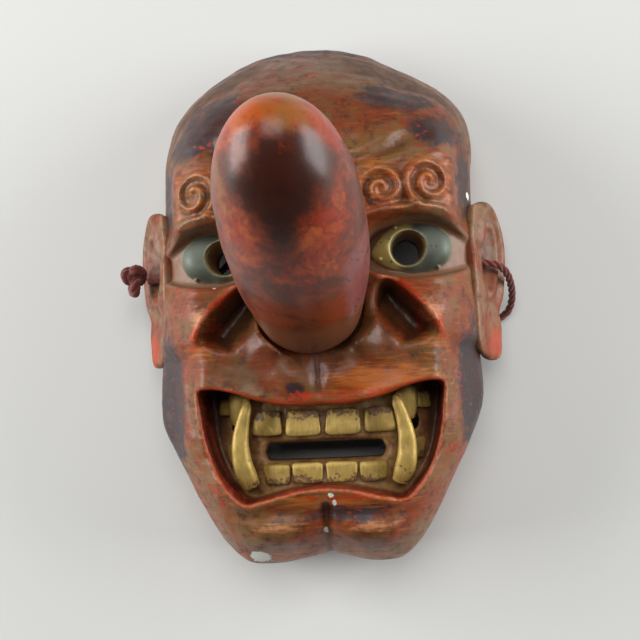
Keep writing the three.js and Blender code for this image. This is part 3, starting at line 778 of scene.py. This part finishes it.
def ear(sign):
    """A plate that is carved flat, then turned about its root to stand out from the face."""
    v = Voxels((-6, -37, -8), (31, 38, 8), 0.7)
    w, y = v.flat_x, v.flat_y
    edge = deep(to_edge(curve(EAR_OUTLINE, closed=True), w, y))
    field = soft_max(np.abs(v.z) - EAR_THICK / 2, edge, 3.2)
    field = soft_max(field, (v.z - deep(ear_front(w, y))) * 0.85, 1)
    c, s = math.sin(EAR_FLARE), math.cos(EAR_FLARE)
    lift = 0 if sign > 0 else LEFT_EAR_LIFT
    row_z = EAR_ROOT_Z - v.x * s + v.z * c
    field = soft_max(field, HOLE["r"] - np.hypot(v.y + lift - HOLE["y"], row_z - HOLE["z"]), 0.8)
    points, faces = v.surface(field)
    across, along_ear, out = points.T
    placed = np.stack([
        EAR_ROOT_X + across * c + out * s, along_ear + lift, EAR_ROOT_Z - across * s + out * c,
    ], axis=1)
    side = SIDES[sign]
    piece = mesh_object(f"carved_ear_{side}", *on_side(sign, placed, faces), "ear_lacquer", f"ear_{side}")
    worn_edges_and_hollow_shade(piece, v, field, points)
    give(piece, "lobe", hill(across - 14, along_ear + 24, 9, 9))
    # The ear's bowl, which the ear's material darkens as painted shade.
    give(piece, "bowl", hill(across - 10.5, along_ear - 10.5, 6, 10))
    return piece


# ---------------------------------------------------------------- the eye plates
def eye_plate(sign):
    """A domed sheet with a pointed inner corner, a hole over the pupil and three small tacks."""
    v = Voxels((-17, -12, -2), (17, 12, 9), 0.45)
    cx, cy = PUPIL["x"] - EYE["x"], PUPIL["y"] - EYE["y"]
    shape = curve([
        (-16, -2.6), (-12.6, 3.6), (-7, 8.2), (0.5, 10.4), (8, 9.4), (13.4, 5.4), (15.4, 0),
        (13.4, -5.6), (7.6, -9.2), (0, -10), (-7.4, -8), (-12.8, -5.2),
    ], closed=True)
    dome = (eyeball(v.x, v.y, v.z) - 1) * 7.4
    top = dome - 0.12 * deep(wobble(v.flat_x, v.flat_y, 0, 5))
    for x, y in ((9.4, -8.1), (-12.4, -3.9), (-6.2, 8)):
        tack = np.sqrt((v.x - x) ** 2 + (v.y - y) ** 2 + dome**2) - TACK_R
        top = soft_min(top, tack, 0.3)
    sheet = np.maximum(top, -dome - SHEET)
    field = soft_max(sheet, deep(to_edge(shape, v.flat_x, v.flat_y)), 0.5)
    hole = PUPIL["front"] + 0.2 - np.hypot(v.x - cx, v.y - cy)
    field = np.maximum(soft_max(field, hole, 0.7), 0.1 - v.z)
    points, faces = v.surface(field)
    placed = points + np.array([EYE["x"], EYE["y"], EYE["floor"] + 0.15])
    side = SIDES[sign]
    piece = mesh_object(
        f"domed_eye_{side}", *on_side(sign, placed, faces), "gilt_metal", f"eye_plate_{side}"
    )
    x, y, _ = points.T
    give(piece, "gold", smooth(-x + 0.25 * y, -3, 8))
    # Paler along the plate's outline and round the pupil's hole.
    rim = np.exp(-((to_edge(shape, x, y) / 0.9) ** 2))
    near = np.exp(-(((np.hypot(x - cx, y - cy) - PUPIL["front"]) / 0.8) ** 2))
    give(piece, "pale_rims", most(rim, near))
    return piece


# ---------------------------------------------------------------- the teeth
UP, DOWN = 1, -1
BLOCK_TEETH = [  # the node's name but for its side, the middle's x and y, width, height, way it bites
    ("upper_incisor_1", 7.4, -51.3, 12.6, 9.6, DOWN),
    ("upper_incisor_2", 20.9, -51.1, 11.9, 9.2, DOWN),
    ("lower_incisor_1", 6.2, -69.4, 11, 7.6, UP),
    ("lower_incisor_2", 17.8, -69.8, 10.4, 7.4, UP),
    ("upper_molar", 37.6, -44.6, 5.8, 6.4, DOWN),
    ("lower_molar", 34.6, -62.4, 5.4, 7.8, UP),
]
UPPER_FANG = [(30.6, -39.5, 42.8), (31.8, -43.5, 44.2), (32.2, -47.5, 44.6), (31.8, -52, 44.2)]
LOWER_FANG = [
    (27.6, -73.6, 45.4), (29.8, -66.5, 48.6), (30.4, -58, 50.2), (29, -50, 51), (26.6, -42.6, 51.8),
]
FANGS = [("upper_fang", UPPER_FANG, 4.2), ("lower_fang", LOWER_FANG, 4.1)]  # with the root's radius


def rounded(value, power):
    return np.sign(value) * np.abs(value) ** power


def incisor(node, x, y, width, height, way):
    """A block tooth, broader at its biting edge, which is worn to a slanted facet."""
    lon = round_angles(40)
    rings = []
    for lat in np.linspace(-math.pi / 2, math.pi / 2, 29)[1:-1]:
        px = rounded(np.cos(lat), 0.3) * rounded(np.cos(lon), 0.32)
        py = rounded(np.cos(lat), 0.3) * rounded(np.sin(lon), 0.32)
        pz = np.full(len(lon), rounded(np.sin(lat), 0.5))
        bite = py * way  # 1 at the biting edge, -1 at the gum
        swell = 1.55 + 0.5 * bite - 0.35 * smooth(bite, 0.35, 1) - 0.35 * px**2
        across = px * width / 2 * (1 + 0.07 * bite)
        rings.append(np.stack([across, py * height / 2, np.where(pz > 0, pz * swell, pz * 1.2)], axis=1))
    points, faces = loft(rings)
    hand = wobble(points[:, 0] + x, points[:, 1] + y, points[:, 2], 3.5)
    points = points * (1 + 0.02 * hand)[:, None]
    points[:, 2] += 0.1 * wobble(points[:, 0] + 3 * x, points[:, 1], points[:, 2], 2)
    px, py, pz = points.T
    turn = math.atan(2 * x / JAW_CURVE)
    c, s = math.cos(turn), math.sin(turn)
    placed = np.stack([x + px * c + pz * s, y + py, gum_height(x) + 1.5 - px * s + pz * c], axis=1)
    piece = mesh_object("carved_" + node, placed, faces, "gilt_wood", node)
    # 1 at the biting edge; more gold there, which is partly a painted highlight on the biting facet.
    give(piece, "bite", smooth(py / (height / 2) * way, -0.9, 0.9))
    give(piece, "face", smooth(pz, -0.6, 0.4))
    return piece


def fang(node, sign, route, root):
    """A bent, slightly flattened cone with a blunt tip."""
    line = curve([(sign * x, y, z) for x, y, z in route], per=12)
    t = np.linspace(0, 1, len(line))
    a, b = frames(line)
    if np.mean(b[:, 2]) < 0:
        a, b = -a, -b
    r = root * (1 - 0.62 * t**1.4) * (1 - smooth(t, 0.88, 1.04) * 0.75) * (0.8 + 0.2 * smooth(t, 0, 0.2))
    turn = round_angles(20)
    rings = []
    for middle, radius, across, out in zip(line, r, a, b):
        u, w = rounded(np.cos(turn), 0.8) * radius, rounded(np.sin(turn), 0.8) * radius * 0.85
        ring = middle + u[:, None] * across + w[:, None] * out
        rings.append(ring + 0.12 * wobble(*ring.T, 3)[:, None] * out)
    rings.append(line[-1] + (rings[-1] - line[-1]) * 0.5 + (line[-1] - line[-2]) * 0.5)
    points, faces = loft(rings)
    piece = mesh_object("carved_" + node, points, faces, "gilt_wood", node)
    share = np.concatenate([np.repeat(np.append(t, 1), len(turn)), [0, 1]])
    give(piece, "bite", 0.3 + 0.6 * share)
    give(piece, "face", np.ones(len(points)))
    return piece


def teeth():
    made = []
    for sign, side in SIDES.items():
        for kind, x, y, width, height, way in BLOCK_TEETH:
            made.append(incisor(f"{kind}_{side}", sign * x, y, width, height, way))
        for kind, route, root in FANGS:
            made.append(fang(f"{kind}_{side}", sign, route, root))
    return made


# ---------------------------------------------------------------- the cord
STRANDS, LAY_LENGTH = 3, 9.5
STRAND_R, STRAND_SWING = 0.86, 0.72


def even(line, gap):
    """The same line with its points gap apart, and its length."""
    legs = np.linalg.norm(np.diff(line, axis=0), axis=1)
    at = np.concatenate([[0], np.cumsum(legs)])
    want = np.linspace(0, at[-1], max(2, int(at[-1] / gap) + 1))
    return np.stack([np.interp(want, at, line[:, i]) for i in range(3)], axis=1), at[-1]


def twisted(line, thick):
    """Three strands laid round a line, thick times as thick as the cord's."""
    a, b = frames(line)
    gap = np.linalg.norm(line[1] - line[0])
    turn = 2 * math.pi * gap * np.arange(len(line)) / LAY_LENGTH
    parts = []
    for i in range(STRANDS):
        angle = turn + 2 * math.pi * i / STRANDS
        swing = STRAND_SWING * thick * (np.cos(angle)[:, None] * a + np.sin(angle)[:, None] * b)
        parts.append(tube(line + swing, STRAND_R * thick, 8))
    return join(parts)


def knot(name, node, middle, size, squash, thick):
    """An overhand knot pulled tight: a trefoil of the same cord."""
    t = np.linspace(0, 2 * math.pi, 120)
    across = np.sin(t) + 1.55 * np.sin(2 * t), np.cos(t) - 1.55 * np.cos(2 * t)
    trefoil = np.stack([*across, -1.25 * np.sin(3 * t)], axis=1)
    line = middle + trefoil * size * 0.62 * np.array(squash)
    points, faces = twisted(even(line, 0.7)[0], thick)
    return mesh_object(name, points, faces, "cord", node)


def cord():
    line, length = even(curve(CORD_ROUTE, per=12), 0.8)
    points, faces = twisted(line, 1)
    piece = mesh_object("twisted_cord", points, faces, "cord", "cord")
    stop = knot("stop_knot", "cord_stop_knot", STOP_KNOT, size=3.5, squash=(0.6, 1, 0.9), thick=1.45)
    tie = knot("tie_knot", "cord_tie_knot", TIE_KNOT, size=2.6, squash=(1, 0.85, 0.42), thick=1)
    return [piece, stop, tie]


# ---------------------------------------------------------------- materials
def tone(red, green, blue):
    """A screen colour, 0 to 255, as the linear colour that a shader takes."""
    def linear(level):
        level /= 255
        return level / 12.92 if level < 0.04045 else ((level + 0.055) / 1.055) ** 2.4
    return (linear(red), linear(green), linear(blue), 1)


class Look:
    """A node material. Its calls add nodes and give back an output; a name stands for a mask of give()'s."""

    def __init__(self, name, colour=None):
        self.material = bpy.data.materials.new(name)
        self.material.use_nodes = True
        self.tree = self.material.node_tree
        self.tree.nodes.clear()
        self.shader = self.tree.nodes.new("ShaderNodeBsdfPrincipled")
        output = self.tree.nodes.new("ShaderNodeOutputMaterial")
        self.tree.links.new(self.shader.outputs["BSDF"], output.inputs["Surface"])
        self.place = self.tree.nodes.new("ShaderNodeTexCoord").outputs["Object"]
        self.colour = colour

    def set(self, socket, value):
        """Feeds a socket from another one or from a mask, or gives it a constant."""
        if isinstance(value, str):
            node = self.tree.nodes.new("ShaderNodeAttribute")
            node.attribute_name = value
            value = node.outputs["Fac"]
        if isinstance(value, bpy.types.NodeSocket):
            self.tree.links.new(value, socket)
        else:
            socket.default_value = value

    def stretched(self, sizes, turn=(0, 0, 0)):
        """The place in units of sizes, in millimetres, along axes turned by turn."""
        node = self.tree.nodes.new("ShaderNodeMapping")
        node.inputs["Rotation"].default_value = turn
        node.inputs["Scale"].default_value = [1 / (MM * size) for size in sizes]
        self.tree.links.new(self.place, node.inputs["Vector"])
        return node.outputs["Vector"]

    def noise(self, size, detail, rough, turn=(0, 0, 0), shift=0.0):
        """Uneven numbers from 0 to 1 in blots about size across; size is one length or three."""
        sizes = size if hasattr(size, "__len__") else (size, size, size)
        node = self.tree.nodes.new("ShaderNodeTexNoise")
        self.tree.links.new(self.stretched(sizes, turn), node.inputs["Vector"])
        settings = {"Scale": 1, "Detail": detail, "Roughness": rough, "Distortion": shift}
        for name, number in settings.items():
            node.inputs[name].default_value = number
        return node.outputs["Fac"]

    def cells(self, size):
        """The distance from the nearest of some points that are strewn about size apart."""
        node = self.tree.nodes.new("ShaderNodeTexVoronoi")
        node.inputs["Scale"].default_value = 1
        self.tree.links.new(self.stretched((size, size, size)), node.inputs["Vector"])
        return node.outputs["Distance"]

    def maths(self, operation, a, b, c=0.0):
        node = self.tree.nodes.new("ShaderNodeMath")
        node.operation = operation
        for socket, value in zip(node.inputs, (a, b, c)):
            self.set(socket, value)
        return node.outputs["Value"]

    def times(self, a, b):
        return self.maths("MULTIPLY", a, b)

    def blend(self, a, b, share):
        """Share of a and the rest of b."""
        return self.maths("MULTIPLY_ADD", a, share, self.times(b, 1 - share))

    def step(self, value, low, high, begin=0.0, end=1.0):
        """From begin to end as value goes from low to high."""
        node = self.tree.nodes.new("ShaderNodeMapRange")
        node.interpolation_type = "SMOOTHSTEP"
        for name, number in (("From Min", low), ("From Max", high), ("To Min", begin), ("To Max", end)):
            node.inputs[name].default_value = number
        self.set(node.inputs["Value"], value)
        return node.outputs["Result"]

    def mix(self, share, a, b):
        """Colour a, and colour b over it by share."""
        node = self.tree.nodes.new("ShaderNodeMixRGB")
        for socket, value in zip(node.inputs, (share, a, b)):
            self.set(socket, value)
        return node.outputs["Color"]

    def lay(self, colour, share, much=1):
        """Lays a colour over the colour so far, by much of share."""
        self.colour = self.mix(share if much == 1 else self.times(share, much), self.colour, colour)

    def broken(self, mask, grain, spread, low, high):
        """A soft mask as paint with a chipped edge that follows grain."""
        uneven = self.maths("MULTIPLY_ADD", grain, spread, -spread / 2)
        return self.step(self.maths("ADD", mask, uneven), low, high)

    def bump(self, *layers):
        """Bumps one over another; each is a height, its strength and its depth in millimetres."""
        normal = None
        for height, strength, depth in layers:
            node = self.tree.nodes.new("ShaderNodeBump")
            node.inputs["Strength"].default_value = strength
            node.inputs["Distance"].default_value = depth * MM
            self.set(node.inputs["Height"], height)
            if normal:
                self.tree.links.new(normal, node.inputs["Normal"])
            normal = node.outputs["Normal"]
        self.tree.links.new(normal, self.shader.inputs["Normal"])
        self.tree.links.new(normal, self.shader.inputs["Coat Normal"])

    def finish(self, roughness, metal=0.0):
        """Puts the colour so far on the shader, with a roughness and how metallic it is."""
        for name, value in (("Base Color", self.colour), ("Roughness", roughness), ("Metallic", metal)):
            self.set(self.shader.inputs[name], value)

    def wearing(self, *pieces):
        """Puts the material on pieces, over whatever they have."""
        for piece in pieces:
            piece.data.materials.clear()
            piece.data.materials.append(self.material)


VERMILION = tone(168, 50, 12)
RUST = tone(124, 56, 24)
BURNT = tone(158, 84, 40)
OCHRE = tone(112, 78, 42)
UMBER = tone(70, 38, 22)
VIOLET = tone(50, 32, 32)
SLATE = tone(40, 42, 50)
PALE = tone(196, 132, 90)
AMBER = tone(176, 96, 34)
MAROON = tone(64, 20, 16)
CHALK = tone(220, 220, 208)
OLD_GOLD = tone(176, 148, 78)
RAW_WOOD = tone(150, 112, 76)
ROOM_LIGHT = (0.95, 0.96, 1, 1)
PAPER = (0.62, 0.62, 0.6, 1)


def face_lacquer():
    """Vermilion lacquer over a white ground, overpainted in browns and violet and worn through again; with
    painted shade in the hollows, the pits and on the jaw's flanks, and painted highlights on the cheeks and
    chin pads.
    """
    k = Look("face_lacquer")
    blots = k.noise(19, 5, 0.62, shift=0.6)
    fine = k.noise(5, 7, 0.7)
    specks = k.noise(1.5, 4, 0.62)
    strokes = k.noise((8, 1.1, 8), 5, 0.62, (0, 0, 0.4))
    grain = k.blend(specks, fine, 0.45)
    k.colour = k.mix(k.step(blots, 0.4, 0.6), RUST, OCHRE)
    k.lay(UMBER, k.step(fine, 0.48, 0.66, 0, 0.85))
    k.lay(BURNT, k.step(strokes, 0.52, 0.7, 0, 0.55))
    # Violet and slate overpaint, which on the jaw's flanks is partly painted shade.
    patch = k.broken("patch", fine, 0.9, 0.36, 0.72)
    k.lay(k.mix(k.step(fine, 0.4, 0.6), VIOLET, SLATE), patch, 0.92)
    # Brown paint, and painted shade in the pits.
    k.lay(UMBER, "shade", 0.7)
    k.lay(AMBER, k.broken("amber", strokes, 1.6, 0.4, 0.9), 0.7)
    k.lay(VERMILION, k.broken("red", grain, 2.2, 0.62, 0.82), 0.85)
    k.lay(VERMILION, k.step(k.noise((3.5, 1.6, 3.5), 5, 0.7, (0, 0, 0.5)), 0.6, 0.68, 0, 0.7))
    # Pale lacquer on the cheeks' tops and the chin pads' upper edges: partly worn, partly a painted
    # highlight.
    k.lay(PALE, k.broken("worn_and_highlit", k.blend(strokes, specks, 0.6), 1.6, 0.5, 0.9), 0.6)
    edges = k.broken("edge", grain, 1.6, 0.7, 1.15)
    k.lay(PALE, k.times(edges, k.maths("MULTIPLY_ADD", patch, -0.4, 0.5)))
    # Painted shade: darker brown deep in the hollows.
    k.lay(tone(56, 34, 24), "hollow_shade", 0.7)
    k.lay(k.mix(k.step(fine, 0.4, 0.64), tone(150, 116, 70), tone(110, 70, 42)), "gums")
    k.lay(k.mix(k.step(strokes, 0.5, 0.64), MAROON, tone(112, 50, 38)), "mouth_wall")
    k.lay(tone(124, 92, 70), "socket", 0.75)
    k.lay(tone(120, 108, 62), "tunnel")
    wood = k.mix(k.step(k.noise((4, 26, 4), 5, 0.6), 0.4, 0.62), tone(72, 46, 32), tone(96, 66, 46))
    k.lay(wood, "inside")
    chip = k.broken("chip", specks, 0.9, 0.42, 0.5)
    k.lay(CHALK, chip)
    rough = k.maths("MAXIMUM", k.step(fine, 0.35, 0.7, 0.36, 0.56), k.times("inside", 0.75))
    k.finish(k.maths("MAXIMUM", rough, k.times(chip, 0.9)))
    k.shader.inputs["Specular IOR Level"].default_value = 0.22
    k.shader.inputs["Coat Weight"].default_value = 0.2
    k.shader.inputs["Coat Roughness"].default_value = 0.27
    k.bump(
        (k.noise(6, 3, 0.5), 0.35, 0.5), (strokes, 0.3, 0.3), (specks, 0.25, 0.15),
        (k.maths("SUBTRACT", 1.0, chip), 0.6, 0.5),
    )
    return k


def nose_lacquer():
    """The nose: polished by handling, dark in the middle, with the red showing through in patches."""
    k = Look("nose_lacquer")
    blots = k.noise(13, 5, 0.64, shift=0.5)
    fine = k.noise(4.5, 7, 0.7)
    strokes = k.noise((1.6, 1.6, 12), 5, 0.62, (-NOSE_LEAN, 0, 0))
    specks = k.noise(1.2, 3, 0.6)
    k.colour = k.mix(k.step(blots, 0.42, 0.58), tone(84, 30, 8), tone(124, 46, 12))
    k.lay(tone(104, 60, 36), k.broken("brown", fine, 0.7, 0.3, 0.8))
    red = k.mix(k.step(blots, 0.44, 0.6), tone(138, 40, 2), tone(168, 76, 22))
    k.lay(red, k.broken("red", k.blend(fine, strokes, 0.5), 2.6, 0.4, 0.95))
    k.lay(tone(42, 17, 8), k.broken("dark", k.blend(blots, fine, 0.5), 2.8, 0.4, 0.9), 0.88)
    # Ochre at the tip and on the left flank, where it is partly a painted highlight.
    k.lay(tone(140, 92, 44), k.broken("ochre", fine, 1.6, 0.5, 0.9), 0.7)
    # Violet on the lower flanks, partly paint with dark dashes and partly a painted bluish reflection.
    violet = k.broken("violet", fine, 0.8, 0.4, 0.8)
    k.lay(tone(130, 76, 76), violet, 0.6)
    dashes = k.step(k.noise((1.3, 1.3, 3.2), 2, 0.5, (-NOSE_LEAN, 0.5, 0)), 0.62, 0.67)
    k.lay(tone(50, 34, 40), k.times(dashes, violet))
    k.lay(tone(120, 88, 60), "inside")
    k.finish(k.step(fine, 0.3, 0.75, 0.4, 0.55))
    k.shader.inputs["Specular IOR Level"].default_value = 0.12
    k.shader.inputs["Coat Weight"].default_value = 0.6
    k.shader.inputs["Coat Roughness"].default_value = 0.27
    k.bump((k.noise(9, 2, 0.4), 0.25, 0.5), (strokes, 0.12, 0.2), (specks, 0.12, 0.1))
    return k


def ear_lacquer():
    """The ears: the same lacquers, browner, with the folds' tops worn paler, and painted shade in the hollows
    and the bowl.
    """
    k = Look("ear_lacquer")
    blots = k.noise(11, 5, 0.6, shift=0.5)
    fine = k.noise(4, 7, 0.68)
    specks = k.noise(1.4, 4, 0.6)
    k.colour = k.mix(k.step(blots, 0.4, 0.6), RUST, tone(126, 92, 64))
    k.lay(UMBER, k.step(fine, 0.5, 0.68, 0, 0.8))
    k.lay(VERMILION, k.broken("lobe", fine, 1.2, 0.45, 0.75), 0.7)
    k.lay(PALE, k.broken("edge", specks, 1.3, 0.6, 1.0), 0.3)
    # Painted shade in the hollows and in the ear's bowl.
    k.lay(tone(56, 36, 26), "hollow_shade", 0.75)
    k.lay(tone(62, 38, 28), "bowl", 0.55)
    k.finish(k.step(fine, 0.35, 0.7, 0.38, 0.58))
    k.shader.inputs["Specular IOR Level"].default_value = 0.32
    k.bump((k.noise(5, 3, 0.5), 0.4, 0.5), (specks, 0.25, 0.2))
    return k


def bare_wood():
    """The nose's tenon: end-grained softwood, darkened by years of handling."""
    k = Look("bare_wood")
    rings = k.noise((3, 3, 40), 4, 0.55, (-NOSE_LEAN, 0, 0), 0.4)
    fine = k.noise((0.5, 0.5, 8), 3, 0.5, (-NOSE_LEAN, 0, 0))
    k.colour = k.mix(k.step(rings, 0.4, 0.6), RAW_WOOD, tone(118, 82, 54))
    k.lay(tone(92, 62, 42), k.step(fine, 0.5, 0.7, 0, 0.5))
    k.finish(k.step(fine, 0.3, 0.7, 0.6, 0.8))
    k.bump((rings, 0.3, 0.2), (fine, 0.3, 0.1))
    return k


def bamboo():
    """The ears' pegs."""
    k = Look("bamboo")
    fibres = k.noise((6, 0.35, 0.35), 3, 0.5)
    k.colour = k.mix(k.step(fibres, 0.4, 0.62), tone(192, 160, 100), tone(150, 116, 68))
    k.finish(k.step(fibres, 0.3, 0.7, 0.45, 0.65))
    k.bump((fibres, 0.4, 0.1))
    return k


def gilt_metal():
    """Thin brass, bright at the inner corner and gone grey-green towards the outer one."""
    k = Look("gilt_metal")
    cloud = k.noise(6, 5, 0.64)
    fine = k.noise(1.1, 4, 0.6)
    k.colour = k.mix(k.broken("gold", cloud, 0.5, 0.2, 0.9), tone(80, 86, 76), tone(172, 158, 92))
    k.lay(tone(100, 96, 74), k.step(cloud, 0.5, 0.72, 0, 0.5))
    dots = k.step(k.cells(2.6), 0.13, 0.2, 1, 0)
    k.lay(tone(60, 54, 40), k.times(dots, k.step(cloud, 0.45, 0.6)))
    # Paler along the plate's outline and round the pupil's hole.
    k.lay(tone(178, 166, 122), "pale_rims", 0.6)
    k.finish(k.step(cloud, 0.3, 0.7, 0.44, 0.6), k.step(cloud, 0.4, 0.75, 0.45, 0.2))
    k.bump((cloud, 0.25, 0.3), (fine, 0.2, 0.08))
    return k


def gilt_wood():
    """Gold leaf on brown lacquer, worn off in patches and fullest at the biting edges, partly as a painted
    highlight on the biting facets.
    """
    k = Look("gilt_wood")
    cloud = k.noise(4.2, 5, 0.64, shift=0.4)
    fine = k.noise(1.2, 5, 0.66)
    streaks = k.noise((0.8, 3, 2), 4, 0.6)
    leaf = k.mix(k.step(streaks, 0.42, 0.7, 0, 0.6), OLD_GOLD, tone(150, 120, 60))
    # More gold towards the biting edges: partly a painted highlight on the biting facets.
    leaf_and_highlight = k.maths("MULTIPLY_ADD", "bite", 0.6, 0.45)
    gold = k.times(k.broken(leaf_and_highlight, k.blend(cloud, fine, 0.7), 1.7, 0.48, 0.6), "face")
    k.colour = k.mix(k.step(fine, 0.45, 0.6), tone(96, 66, 38), tone(124, 94, 54))
    k.lay(leaf, gold)
    k.finish(k.step(fine, 0.3, 0.7, 0.42, 0.58), k.times(gold, 0.4))
    k.bump((cloud, 0.3, 0.3), (fine, 0.35, 0.15), (streaks, 0.2, 0.12), (gold, 0.2, 0.1))
    return k


def cord_fibre():
    """Dyed hemp, dark red, with loose fibres, worn and dusty on the outside."""
    k = Look("cord_fibre")
    fibres = k.noise(0.45, 4, 0.7)
    k.colour = k.mix(k.step(fibres, 0.38, 0.66), tone(64, 14, 10), tone(120, 34, 22))
    k.lay(tone(134, 62, 44), k.step(k.noise(14, 3, 0.5), 0.5, 0.7, 0, 0.35))
    k.finish(0.85)
    k.shader.inputs["Sheen Weight"].default_value = 0.3
    k.shader.inputs["Sheen Roughness"].default_value = 0.5
    k.bump((fibres, 0.8, 0.25))
    return k


# ---------------------------------------------------------------- the studio
FLOOR_HALF = 3.0
LIT_POINT = Vector((0, 0, 0.04))
SOFT_BOXES = [  # name, place, width and height in metres, and watts
    ("window_left", (-0.95, 0.14, 0.36), 0.8, 0.64, 13.5),
    ("window_right", (0.95, 0.1, 0.3), 0.8, 0.56, 11.5),
    ("ceiling", (0, 0.5, 1.3), 1.0, 0.8, 10),
]


def floor():
    corners = [(x * FLOOR_HALF, y * FLOOR_HALF, 0) for x, y in ((-1, -1), (1, -1), (1, 1), (-1, 1))]
    mesh = bpy.data.meshes.new("floor")
    mesh.from_pydata(corners, [], [(0, 1, 2, 3)])
    plane = bpy.data.objects.new("floor", mesh)
    bpy.context.scene.collection.objects.link(plane)
    k = Look("paper", PAPER)
    k.finish(0.9)
    k.wearing(plane)


def soft_box(name, at, width, height, watts):
    data = bpy.data.lights.new(name, "AREA")
    data.shape = "RECTANGLE"
    data.size, data.size_y, data.energy = width, height, watts
    light = bpy.data.objects.new(name, data)
    back = (Vector(at) - LIT_POINT).normalized()
    light.matrix_world = Matrix.Translation(at) @ back.to_track_quat("Z", "Y").to_matrix().to_4x4()
    bpy.context.scene.collection.objects.link(light)


def studio():
    for box in SOFT_BOXES:
        soft_box(*box)
    world = bpy.data.worlds.new("studio")
    world.use_nodes = True
    world.node_tree.nodes["Background"].inputs["Color"].default_value = ROOM_LIGHT
    world.node_tree.nodes["Background"].inputs["Strength"].default_value = 0.1
    bpy.context.scene.world = world
    bpy.context.scene.view_settings.view_transform = "Standard"


# ---------------------------------------------------------------- the whole
def build():
    cord_fibre().wearing(*cord())
    face_lacquer().wearing(face_shell())
    nose_lacquer().wearing(nose())
    ear_lacquer().wearing(*(ear(sign) for sign in SIDES))
    gilt_metal().wearing(*(eye_plate(sign) for sign in SIDES))
    gilt_wood().wearing(*teeth())
    bare_wood().wearing(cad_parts["nose_tenon"])
    bamboo().wearing(*(node for name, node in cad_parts.items() if name.startswith("ear_peg")))
    floor()
    studio()


build()
